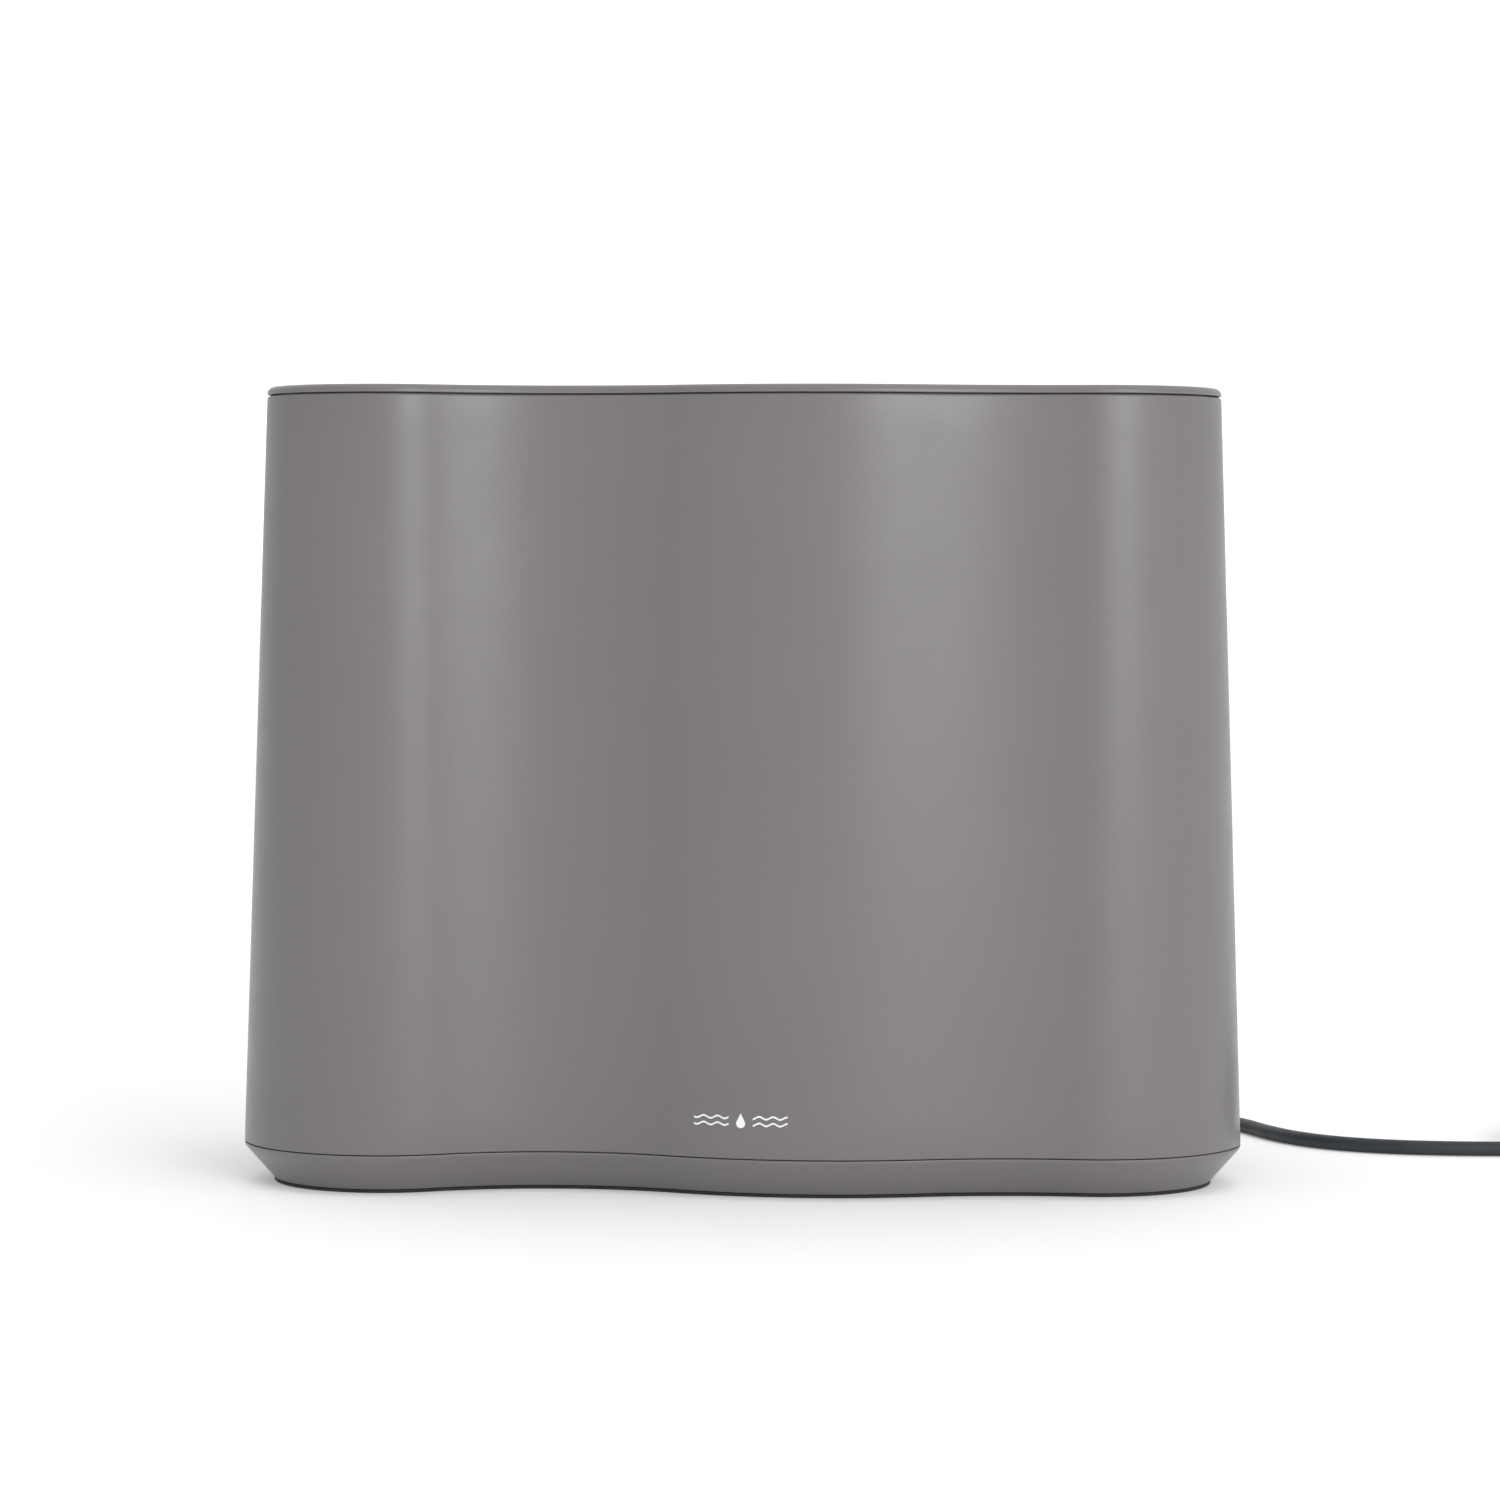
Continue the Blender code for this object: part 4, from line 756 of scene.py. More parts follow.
def as_mesh(curve):
    """Turns a curve piece into a mesh of the same name."""
    graph = bpy.context.evaluated_depsgraph_get()
    mesh = bpy.data.meshes.new_from_object(curve.evaluated_get(graph))
    bm = bmesh.new()
    bm.from_mesh(mesh)
    bmesh.ops.remove_doubles(bm, verts=bm.verts, dist=1e-6)
    face_outward(bm)
    bm.to_mesh(mesh)
    bm.free()
    mesh.shade_smooth()
    mesh.set_sharp_from_angle(angle=radians(WIRE_SMOOTH_ANGLE))
    name = curve.name
    bpy.data.objects.remove(curve)
    return linked(name, mesh)


def dressed(obj, look, *nodes):
    """Gives a lead, wire or spring its look and lets it stand for its nodes."""
    obj.data.materials.append(LOOKS[look])
    stand_for(obj, look, *nodes)
    return obj


def make_lead():
    made = curve_piece("lead", lead_path(), LEAD_RADIUS)
    return dressed(made, "lead_jacket", "cord_run", "cord_coil", "cord_tail")


# ---- case


def wall_rings(low, high, inset=0):
    return [(wall_inset(z) + inset, z) for z in evenly(low, high, 12)]


def rolled_edge(inset, top, radius, steps):
    """The rings of a rounded upper edge, from the wall to the face on top."""
    angles = evenly(0, pi / 2, pi / 2 / steps)
    return [(inset + radius * (1 - cos(a)), top - radius * (1 - sin(a))) for a in angles]


def shell_screw_places():
    return [lobe_point(lobe, degrees, SCREW_INSET) for lobe, degrees in SHELL_SCREWS]


def screw_places():
    """Every base screw as ((x, y), top of its boss)."""
    corners = [(place, BASE_RIM) for place in shell_screw_places()]
    return corners + [(place, PILLAR_BOSS_TOP) for place in TRAY_PILLARS]


def make_outer_shell():
    foot = wall_inset(SHELL_BOTTOM)
    foot_edge = [
        (foot + SHELL_FOOT_ROUND * (1 - sin(a)), SHELL_BOTTOM + SHELL_FOOT_ROUND * (1 - cos(a)))
        for a in evenly(0, pi / 2, pi / 8)
    ]
    outside = wall_rings(SHELL_BOTTOM + SHELL_FOOT_ROUND, SHELL_TOP - SHELL_TOP_ROUND)[1:-1]
    top_edge = rolled_edge(wall_inset(SHELL_TOP), SHELL_TOP, SHELL_TOP_ROUND, 5)
    inside = wall_rings(SHELL_TOP, SHELL_BOTTOM, SHELL_WALL)
    shell = Piece("outer_shell", loft(foot_edge + outside + top_edge + inside, ring_shaped=True))
    shell.join([shell_tab(lobe, degrees) for lobe, degrees in SHELL_SCREWS])
    holes = uprights(shell_screw_places(), 10, 20, SCREW_HOLE, 24)
    holes.append(prism(rectangle(52, 20, 9.9, 10), 16, facing_back(PANEL_X, 88, PANEL_Z)))
    holes += towards_back((JACK_X,), JACK_Z, 80, 92, 6.4)
    shell.cut(holes).done("case")


def shell_tab(lobe, degrees):
    """A lug from the wall inward, which a base screw pulls down on the base."""
    x, y, radius, _ = LOBES[lobe]
    low, high = (radius - 27, -8, SHELL_BOTTOM + 0.4), (radius - 1.2, 8, TAB_TOP)
    return moved(block(low, high, 0.5), at(x, y) @ turn(degrees, "Z"))


def make_base_shell():
    slope_top = SEAM_Z - 1
    slope = [
        (BASE_CHAMFER * share, slope_top - (slope_top - BASE_BOTTOM) * share)
        for share in evenly(1, 0.03, 0.1)
    ]
    rings = [
        (BASE_CHAMFER + 0.5, BASE_BOTTOM), *slope, (0.06, SEAM_Z - 0.75), (0, SEAM_Z - 0.5),
        (0.06, BASE_RIM - 0.08), (0.3, BASE_RIM), (4.6, BASE_RIM), (5.4, SEAM_Z - 3),
        (12, BASE_FLOOR + 0.9), (13, BASE_FLOOR + 0.2), (14, BASE_FLOOR),
    ]
    base = Piece("base_shell", loft(rings))
    bosses = [rod((x, y, 3), (x, y, top), 5.5, 32) for (x, y), top in screw_places()]
    base.join(bosses + uprights(board_corners(), 3, BOARD_Z - GAP, 3, 24))
    base.cut([rod((x, y, 0), (x, y, top + 2), SCREW_HOLE, 24) for (x, y), top in screw_places()])
    sinks = uprights([place for place, _ in screw_places()], 0, 4.6, 4.2, 32)
    slot = rectangle(40, 3.2, 1.5, 5)
    slots = [prism(slot, 8, at(FAN_X, MIST_Y - 17.5 + 7 * i)) for i in range(6)]
    base.cut(sinks + slots).done("case")


def make_foot_ring():
    outer, inner = BASE_CHAMFER, BASE_CHAMFER + FOOT_WIDTH
    rings = (
        (outer + 0.45, 0), (outer + 0.2, 0.1), (outer + 0.02, 0.4), (outer, FOOT_TOP),
        (inner, FOOT_TOP), (inner, 0.25), (inner - 0.25, 0),
        (inner - FOOT_WIDTH * 0.4, 0), (inner - FOOT_WIDTH * 0.45, 0.2),
        (outer + FOOT_WIDTH * 0.45, 0.2), (outer + FOOT_WIDTH * 0.4, 0),
    )
    Piece("foot_ring", loft(rings, ring_shaped=True)).done("dark_rubber")


def make_lid():
    """A plate with a rolled edge, a skirt that drops inside the shell, and the nozzle's collar."""
    edge = wall_inset(LID_SEAM_Z)
    outer, inner = edge + SKIRT_GAP, edge + SKIRT_GAP + SKIRT_WALL
    rings = [
        (inner, LID_BOTTOM), (inner, SKIRT_BOTTOM + 0.3), (inner - 0.3, SKIRT_BOTTOM),
        (outer + 0.3, SKIRT_BOTTOM), (outer, SKIRT_BOTTOM + 0.3), (outer, LID_BOTTOM),
        (edge + 0.25, LID_BOTTOM), (edge + 0.07, LID_BOTTOM + 0.07), (edge, LID_BOTTOM + 0.25),
        *rolled_edge(edge, TOP_Z, LID_ROLL, 8),
        (edge + LID_ROLL + 6, TOP_Z), (edge + LID_ROLL + 12, TOP_Z),
    ]
    lid = Piece("lid", loft(rings))
    lid.join(rod((MIST_X, MIST_Y, 250), (MIST_X, MIST_Y, TOP_Z - 1), 23, 72))
    bore = (
        (0, TOP_Z + 1), (21.5, TOP_Z + 1), (21.5, TOP_Z - 0.2), (21, TOP_Z - 0.7), (21, 258),
        (17.5, 258), (17.5, 256), (21, 256), (21, 249), (0, 249),
    )
    lid.cut(lathe(bore, MIST_AXIS)).done("case")


def wall_point(x, z, lift):
    """A point on the front middle lobe's wall, lifted off it."""
    centre_x, centre_y, radius, _ = LOBES[FRONT_MIDDLE]
    reach = radius - wall_inset(z) + lift
    return (x, centre_y - sqrt(reach * reach - (x - centre_x) ** 2), z)


def drop_outline(x, z, size):
    """A water drop: a round foot and two straight sides that meet in a point."""
    angles = evenly(radians(150), radians(390), radians(15))
    return [polar((x, z), size, a) for a in angles] + [(x, z + 2.3 * size)]


def wave_outline(side, row):
    """One wavy line beside the mark's drop, as (x, z)."""
    xs = [MARK_X + side * x for x in evenly(4, 15.5, 0.5)]
    middle = [(x, MARK_Z + row * 1.1 + 0.45 * sin(x * pi / 2.3)) for x in xs]
    lower = [(x, z - MARK_HALF_LINE) for x, z in middle]
    return [(x, z + MARK_HALF_LINE) for x, z in middle] + lower[::-1]


def make_front_mark():
    """A plain printed mark low on the front: a drop between two pairs of waves."""
    waves = [wave_outline(side, row) for side in (-1, 1) for row in (-1, 1)]
    bm = bmesh.new()
    for points in (drop_outline(MARK_X, MARK_Z - 0.9, 1.5), *waves):
        under = [bm.verts.new(wall_point(x, z, 0)) for x, z in points]
        over = [bm.verts.new(wall_point(x, z, PRINT_THICK)) for x, z in points]
        bm.faces.new(under)
        bm.faces.new(list(reversed(over)))
        bridge(bm, over, under)
    face_outward(bm)
    Piece(None, bm, "front_mark").beside_body("cabinet", "inner_plastic", "print_white")


# ---- screws


def make_screw(node, x, y, head_low, seat, end, head, shank):
    """A pan-head screw standing head down, with a rolled thread."""
    core = shank * 0.8
    starts = [seat + 0.6 + i * THREAD_PITCH for i in range(int((end - seat - 1) / THREAD_PITCH))]
    thread = [corner for low in starts for corner in ((core, low), (shank, low + THREAD_PITCH / 2))]
    corners = [
        (0, head_low), (head * 0.8, head_low, 0.4),
        (head, head_low + (seat - head_low) * 0.45, 0.6), (head, seat),
        (core, seat), *thread, (core, end - 0.8), (0, end),
    ]
    screw = Piece(node, lathe(corners, at(x, y), steps=3, sides=40))
    for degrees in (0, 90):
        place = at(x, y, head_low - 0.1) @ turn(degrees, "Z")
        screw.cut(prism(rectangle(head * 1.15, 0.9, 0.2, 2), 1.1 + head * 0.1, place))
    screw.done("steel")


def make_base_screws():
    for number, ((x, y), _) in enumerate(screw_places(), 1):
        make_screw(f"base_screw_{number}", x, y, 2, 4.3, 16.5, 3.6, 1.8)


# ---- nozzle


def make_mist_nozzle():
    """A disc that turns in the lid's collar, with a slanted outlet and a milled rim."""
    corners = (
        (0, 268.6), (15, 268.6, 3), (18.3, 269.7, 0.5), (20.6, 269.7, 0.35),
        (20.6, 258.3, 0.3), (18.4, 258.3, 0.3), (18.4, 266.6, 1), (0, 266.6),
    )
    nozzle = Piece("mist_nozzle", lathe(corners, MIST_AXIS, sides=96))
    nozzle.cut(prism(rectangle(22, 8, 3.9, 10), 14, at(MIST_X, MIST_Y - 5, 262) @ turn(25, "X")))
    notches = spaced_round(MIST_X, MIST_Y, 19.6, 36)
    nozzle.cut(uprights(notches, 269.3, 271, 0.45, 12)).done("dark_plastic")


# ---- water tank


def tank_side(inset, low, high):
    return [(inset - TANK_LEAN * (z - TANK_BOTTOM), z) for z in evenly(low, high, 12)]


def pocket_shape(radius, roof, foot, fillet):
    corners = ((0, roof), (radius, roof, fillet), (radius, foot), (0, foot))
    return lathe(corners, MIST_AXIS, steps=8, sides=120)


def make_water_tank():
    rim = TANK_TOP - 0.9
    rings = [
        (17.2, TANK_BOTTOM), (15.8, TANK_BOTTOM + 0.4), (14.9, TANK_BOTTOM + 1.3),
        *tank_side(TANK_INSET, TANK_BOTTOM + 3, rim),
        (12.25, TANK_TOP - 0.25), (12.8, TANK_TOP), (13.5, TANK_TOP), (14, TANK_TOP - 0.25),
        *tank_side(TANK_INSET + TANK_WALL, rim, TANK_BOTTOM + 6),
        (17.2, TANK_BOTTOM + 3.7), (18.6, TANK_BOTTOM + 2.8), (20.6, TANK_BOTTOM + 2.5),
    ]
    tank = Piece("water_tank", loft(rings))
    tank.join(pocket_shape(POCKET_RADIUS + TANK_WALL, POCKET_ROOF + TANK_WALL, TANK_BOTTOM + 1, 4))
    lug_foot = at(0, 0, HANDLE_Z - 12)
    tank.join([prism(filleted(lug), 18, lug_foot) for lug in (LUG_FRONT, LUG_REAR)])
    tank.cut(pocket_shape(POCKET_RADIUS, POCKET_ROOF, TANK_BOTTOM - 2, 3))
    holes = uprights([(MIST_X, MIST_Y)], 106, 120, 16, 72)
    holes += uprights([(VALVE_X, VALVE_Y)], 60, 80, 20.3, 72)
    for start, end in ((-76, -50), (54, 80)):
        holes += towards_back((0,), HANDLE_Z, start, end, PIN_HOLE, 32)
    tank.cut(holes).done("tank_plastic")


def make_mist_chimney():
    foot, radius = POCKET_ROOF + TANK_WALL + GAP, CHIMNEY_RADIUS
    corners = (
        (radius, CHIMNEY_TOP, 0.9), (radius, CHIMNEY_TOP - 6), (radius - 0.4, CHIMNEY_TOP - 7),
        (radius - 0.4, foot + 2.5, 3), (24, foot + 2.5, 0.8), (24, foot, 0.5),
        (17, foot, 0.5), (17, CHIMNEY_TOP, 0.9),
    )
    turned("mist_chimney", "tank_plastic", corners, MIST_AXIS, steps=6, sides=96)


def make_tank_handle():
    """A bail with round-edged arms and finger grooves across its grip."""
    half, heel = HANDLE_ARM / 2, 7
    front, rear = HANDLE_FRONT, HANDLE_REAR
    grip_in, grip_out = -HANDLE_REACH + 6, -HANDLE_REACH - 6
    corners = (
        (heel, front - half, 3.1), (heel, front + half, 3.1),
        (grip_in, front + half, 5), (grip_in, rear - half, 5),
        (heel, rear - half, 3.1), (heel, rear + half, 3.1),
        (grip_out, rear + half, 9), (grip_out, front - half, 9),
    )
    bail = prism(filleted(corners, 8), 9, at(0, 0, HANDLE_Z - 4.5), edge=2.2, segments=5)
    handle = Piece("tank_handle", bail)
    handle.cut(towards_back((0,), HANDLE_Z, front - 10, rear + 10, PIN_HOLE))
    reach = HANDLE_REACH
    grooves = [
        rod((-reach - 8, y, z), (-reach + 8, y, z), 1.5, 20)
        for y in evenly(-24, 28, 6.5)
        for z in (HANDLE_Z - 5.4, HANDLE_Z + 5.4)
    ]
    handle.cut(grooves).done("inner_plastic")


def make_handle_pins():
    for name, arm, outward in (("front", HANDLE_FRONT, -1), ("rear", HANDLE_REAR, 1)):
        inner_face = arm - outward * (HANDLE_ARM / 2 + GAP)
        length = abs(arm + outward * 16 - inner_face)
        radius = PIN_RADIUS
        corners = (
            (0, -1.8), (radius + 1.4, -1.8, 0.7), (radius + 2, -0.5, 0.4), (radius + 2, 0),
            (radius, 0), (radius, length - 0.6), (radius - 0.6, length), (0, length),
        )
        place = at(0, inner_face, HANDLE_Z) @ turn(-90 * outward, "X")
        turned(f"handle_pin_{name}", "steel", corners, place, sides=40)


# ---- valve


def make_valve_cap():
    """The screwed-in cap: a milled flange, a neck into the tank and a web that guides the stem."""
    corners = (
        (19.9, VALVE_NECK_TOP, 0.8), (19.9, VALVE_FLANGE_TOP), (24, VALVE_FLANGE_TOP, 0.5),
        (24, VALVE_FLANGE_LOW, 0.8), (10, VALVE_FLANGE_LOW, 0.8), (10, VALVE_SEAT, 0.4),
        (17.5, VALVE_SEAT, 1), (17.5, 88, 1), (STEM_RADIUS + 0.4, 88),
        (STEM_RADIUS + 0.4, 90), (17.5, 90, 0.8), (17.5, VALVE_NECK_TOP, 0.8),
    )
    cap_piece = Piece("valve_cap", lathe(corners, VALVE_AXIS, sides=192, ribs=(48, 0.45, 22.6)))
    holes = spaced_round(VALVE_X, VALVE_Y, 11, 4, 45)
    cap_piece.cut(uprights(holes, 86, 91, 4.5, 32)).done("inner_plastic")


def make_valve():
    make_valve_cap()
    low, high = VALVE_FLANGE_TOP + GAP, TANK_BOTTOM - GAP
    washer = ((23.5, high, 0.5), (23.5, low, 0.5), (20.4, low, 0.5), (20.4, high, 0.5))
    turned("valve_washer", "dark_rubber", washer, VALVE_AXIS, steps=6)
    plunger = (
        (0, 96), (STEM_RADIUS, 96, 0.6), (STEM_RADIUS, 74.3, 1), (13, 74.3, 0.8),
        (13, VALVE_SEAT + GAP, 0.8), (STEM_RADIUS, VALVE_SEAT + GAP, 0.8),
        (STEM_RADIUS, 66.4, 1), (0, 66.4),
    )
    turned("valve_plunger", "inner_plastic", plunger, VALVE_AXIS)


def make_valve_spring():
    """A coil spring with closed ends between the plunger and the cap's web, which the plunger
    squeezes as it rises; it is built at one length.
    """
    path = []
    for share in evenly(0, 1, 1 / (SPRING_TURNS * 32)):
        angle = 2 * pi * SPRING_TURNS * share
        height = SPRING_LOW + (SPRING_HIGH - SPRING_LOW) * eased(share, -0.15, 1.15)
        path.append((*polar((VALVE_X, VALVE_Y), SPRING_RADIUS, angle), height))
    spring = as_mesh(curve_piece("valve_spring_visual", path, SPRING_WIRE, 3))
    dressed(spring, "steel", "valve_spring")
    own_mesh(spring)


# ---- basin and transducer


def make_basin_tray():
    inner = TRAY_INSET + TRAY_WALL
    rings = [
        (TRAY_INSET + 1.5, TRAY_BOTTOM), (TRAY_INSET + 0.4, TRAY_BOTTOM + 0.4),
        (TRAY_INSET, TRAY_BOTTOM + 1.5),
        *[(TRAY_INSET, z) for z in evenly(TRAY_BOTTOM + 8, TRAY_TOP - 0.6, 8)],
        (TRAY_INSET + 0.6, TRAY_TOP), (inner - 0.6, TRAY_TOP),
        *[(inner, z) for z in evenly(TRAY_TOP - 0.6, TRAY_FLOOR + 4, 8)],
        (inner + 0.4, TRAY_FLOOR + 1.8), (inner + 1.6, TRAY_FLOOR + 0.6),
        (inner + 3.5, TRAY_FLOOR), (inner + 8, TRAY_FLOOR),
    ]
    tray = Piece("basin_tray", loft(rings))
    stands = uprights(TRAY_PILLARS, 9.3, POST_FOOT, 5, 32)
    stands += [rounded_post(x, y, 71.7, 5) for x, y in TANK_RESTS]
    stands.append(rounded_post(VALVE_X, VALVE_Y, 66.1, 3))
    stands.append(rounded_post(FLOAT_X, FLOAT_Y, 90, 2.5))
    stands.append(rounded_post(FAN_X, MIST_Y, 94, 9))
    stands += uprights(CLAMP_SCREWS, 58, POST_FOOT, 3, 32)
    tray.join(stands)
    holes = uprights(TRAY_PILLARS, 5, 22, SCREW_HOLE, 24)
    holes += uprights([(FAN_X, MIST_Y)], 60, 96, 7, 48)
    holes += uprights([(TRANSDUCER_X, MIST_Y)], 60, 66, 13.3, 64)
    holes += uprights(CLAMP_SCREWS, 56, 62, CLAMP_HOLE, 20)
    tray.cut(holes).done("inner_plastic")


def make_transducer():
    disc = ((0, 62.45), (7.6, 62.45), (7.8, 62.6), (10.3, 62.6, 0.2), (10.3, 60.8, 0.2), (0, 60.8))
    turned("transducer_disc", "steel", disc, TRANSDUCER_AXIS)
    seal = (
        (15, 66.5, 0.8), (15, TRAY_FLOOR + GAP, 0.3), (13, TRAY_FLOOR + GAP), (13, 58, 0.5),
        (8, 58, 0.5), (8, 60.5, 0.3), (10.6, 60.5), (10.6, 62.9), (8, 62.9, 0.3), (8, 66.5, 0.8),
    )
    turned("transducer_seal", "dark_rubber", seal, TRANSDUCER_AXIS)
    ring = ((20, 57.7, 0.3), (20, 54.7, 0.6), (8, 54.7, 0.6), (8, 57.7, 0.3))
    clamp = Piece("transducer_clamp", lathe(ring, TRANSDUCER_AXIS))
    clamp.cut(uprights(CLAMP_SCREWS, 53, 60, CLAMP_HOLE, 24)).done("steel")
    for number, (x, y) in enumerate(CLAMP_SCREWS, 1):
        make_screw(f"clamp_screw_{number}", x, y, 52.9, 54.4, 61.2, 2.6, 1.2)


def make_float():
    ring = (
        (9, 75.2, 1), (9, 72.6, 0.2), (8.5, 72.2, 0.2), (8.5, 68.2, 0.2),
        (9, 67.8, 0.2), (9, 65.2, 1), (3, 65.2, 0.5), (3, 75.2, 0.5),
    )
    turned("float_ring", "inner_plastic", ring, FLOAT_AXIS)
    clip = ((5, 89.4, 0.3), (5, 88, 0.3), (2.8, 88, 0.2), (2.8, 89.4, 0.2))
    turned("float_retainer", "steel", clip, FLOAT_AXIS, sides=60)


# ---- fan


def make_fan_frame():
    square, web_top = rectangle(FAN_SIZE, FAN_SIZE, 4, 6), FAN_LOW + 2.2
    height = FAN_HIGH - FAN_LOW
    housing = Piece("fan_frame", prism(square, height, at(FAN_X, MIST_Y, FAN_LOW), edge=0.5))
    throat = (
        (0, 30), (FAN_THROAT + 4, 30), (FAN_THROAT, FAN_HIGH - 2.5, 3), (FAN_THROAT, 0), (0, 0),
    )
    housing.cut([lathe(throat, FAN_AXIS, sides=96), *uprights(FAN_BORES, 0, 30, 2.1, 24)])
    for number in range(3):
        arm = block((0, -1.6, FAN_LOW), (29.5, 1.6, web_top), 0.5)
        housing.join(moved(arm, FAN_AXIS @ turn(120 * number, "Z")))
    hub = ((0, web_top), (12.5, web_top, 0.4), (12.5, FAN_LOW, 0.6), (0, FAN_LOW))
    housing.join(lathe(hub, FAN_AXIS, sides=64)).done("dark_plastic")


def make_fan_rotor():
    low = FAN_LOW + 2.5
    motor = (
        (0, 16), (9.4, 16, 0.8), (9.4, 13.6), (10.5, 13.2, 0.4),
        (10.5, 9, 0.4), (9.4, 8.6), (9.4, low, 0.6), (0, low),
    )
    turned("fan_motor", "steel", motor, FAN_AXIS, ribs=(9, 1.2, 9.8))
    hub = (
        (0, 22.5), (13.5, 22.5, 1.2), (13.5, 8, 0.3), (11.6, 8, 0.3), (11.6, 20.5, 0.6), (0, 20.5),
    )
    impeller = Piece("fan_impeller", lathe(hub, FAN_AXIS, steps=6, sides=96))
    impeller.join([fan_blade(number) for number in range(FAN_BLADES)]).done("dark_plastic")


def fan_blade(number):
    """A cambered blade that twists from hub to tip."""
    bm = bmesh.new()
    sections = []
    for share in evenly(0, 1, 1 / 8):
        reach = 12.6 + 14 * share
        pitch = radians(52 - 10 * share)
        chord, thick = 6.9 - 0.4 * share, 0.7 - 0.25 * share
        points = []
        for a in evenly(0, 2 * pi, pi / 8)[:-1]:
            along = chord * cos(a)
            across = thick * sin(a) + 0.9 * (1 - (along / chord) ** 2)
            y = along * cos(pitch) - across * sin(pitch)
            z = along * sin(pitch) + across * cos(pitch)
            points.append(bm.verts.new((reach, y, z - 0.4)))
        sections.append(points)
    for low, high in zip(sections, sections[1:]):
        bridge(bm, low, high)
    cap(bm, sections[0], sections[-1])
    face_outward(bm)
    round_hub = Matrix.Rotation(2 * pi * number / FAN_BLADES, 4, "Z")
    return moved(bm, at(FAN_X, MIST_Y, 15.2) @ round_hub)


def make_air_duct():
    low, high = FAN_HIGH + GAP, TRAY_BOTTOM - GAP
    corners = (
        (10.5, high, 0.3), (10.5, 57, 3), (29.6, 31, 3), (29.6, low, 0.3),
        (28.2, low, 0.3), (28.2, 30.5, 3), (9, 56.5, 3), (9, high, 0.3),
    )
    turned("air_duct", "inner_plastic", corners, FAN_AXIS, steps=6, sides=96)


# ---- boards


def board_corners():
    xs = (BOARD_LOW[0] + BOARD_MARGIN, BOARD_HIGH[0] - BOARD_MARGIN)
    ys = (BOARD_LOW[1] + BOARD_MARGIN, BOARD_HIGH[1] - BOARD_MARGIN)
    return [(x, y) for x in xs for y in ys]


def on_board(x, y, width, depth, height, rounding):
    return block((x, y, BOARD_TOP), (x + width, y + depth, BOARD_TOP + height), rounding)


def chip(x, y, width, depth, legs):
    """A small chip with a row of legs along each long side."""
    low = (x - width / 2, y - depth / 2, BOARD_TOP + 0.3)
    bodies = [block(low, (x + width / 2, y + depth / 2, BOARD_TOP + 2), 0.2)]
    for leg in evenly(-width / 2 + 1, width / 2 - 1, (width - 2) / (legs - 1)):
        for side in (-1, 1):
            near, far = sorted((y + side * (depth / 2 - 0.2), y + side * (depth / 2 + 0.9)))
            low = (x + leg - 0.2, near, BOARD_TOP - 0.05)
            high = (x + leg + 0.2, far, BOARD_TOP + 0.8)
            bodies.append(block(low, high, 0.08, 1))
    return gathered(bodies)


def make_driver_board():
    board = Piece("driver_board", block((*BOARD_LOW, BOARD_Z), (*BOARD_HIGH, BOARD_TOP), 0.25))
    board.cut(uprights(board_corners(), 15, 25, 1.5, 24)).done("board")
    parts = [
        chip(-20, -28, 9, 5, 5), chip(-44, 11.5, 8, 4, 4), chip(4, -8, 6, 4, 4),
        on_board(13.5, 11.5, 6, 7.5, 6, 0.4), on_board(13.5, -15, 6, 8, 6, 0.4),
    ]
    for number, x in enumerate(evenly(-30, -10, 5)):
        parts.append(on_board(x, -14 - number % 2 * 4, 2.4, 1.4, 0.9, 0.1))
    Piece(None, gathered(parts), "driver_board_components").beside_body("cabinet", "dark_plastic")
    sink = Piece("heat_sink", block((-52, -20, BOARD_TOP + GAP), (-34, 4, 44), 0.4))
    sink.cut([block((-53, -16.8 + 5.4 * i, 27), (-33, -14 + 5.4 * i, 46), 0.6) for i in range(4)])
    sink.done("aluminium")
    can = (
        (0, 36.7), (4.2, 36.7, 0.3), (4.5, 37, 0.2), (5.5, 37, 0.6), (5.5, 26.5, 0.4),
        (5.1, 26, 0.4), (5.1, 25.2, 0.4), (5.5, 24.7, 0.4),
        (5.5, BOARD_TOP + GAP, 0.4), (0, BOARD_TOP + GAP),
    )
    turned("filter_capacitor", "dark_plastic", can, at(0, -26))
    make_choke()


def make_choke():
    """A ferrite ring with enamelled wire wound through it."""
    high, low = CHOKE_HIGH - 0.9, CHOKE_LOW + 0.9
    core = ((7.1, high, 0.5), (7.1, low, 0.5), (4.4, low, 0.5), (4.4, high, 0.5))
    ring = Piece(None, lathe(core, at(CHOKE_X, CHOKE_Y)), "choke_core")
    ring.beside_body("cabinet", "dark_plastic")
    middle_z, half_height = (CHOKE_LOW + CHOKE_HIGH) / 2, (CHOKE_HIGH - CHOKE_LOW) / 2 - 0.5
    path = []
    for share in evenly(0, 0.94, 1 / (CHOKE_WRAPS * 16)):
        angle = 2 * pi * share
        section = 2 * pi * CHOKE_WRAPS * share
        reach = 5.75 + 1.75 * squared(cos(section))
        z = middle_z + half_height * squared(sin(section))
        path.append((*polar((CHOKE_X, CHOKE_Y), reach, angle), z))
    dressed(curve_piece("choke_coil_visual", path, 0.42, 2), "copper", "choke_coil")


def squared(value):
    """Bends a sine towards a square wave, so that a winding follows a square section."""
    return copysign(abs(value) ** 0.45, value)


def make_inner_wires():
    for node, route in (("supply_wire", SUPPLY_ROUTE), ("transducer_wire", DRIVE_ROUTE)):
        wire = curve_piece(f"{node}_visual", smooth_path(route, 2.5), WIRE_RADIUS)
        dressed(wire, "dark_plastic", node)


# ---- rear controls and inlet


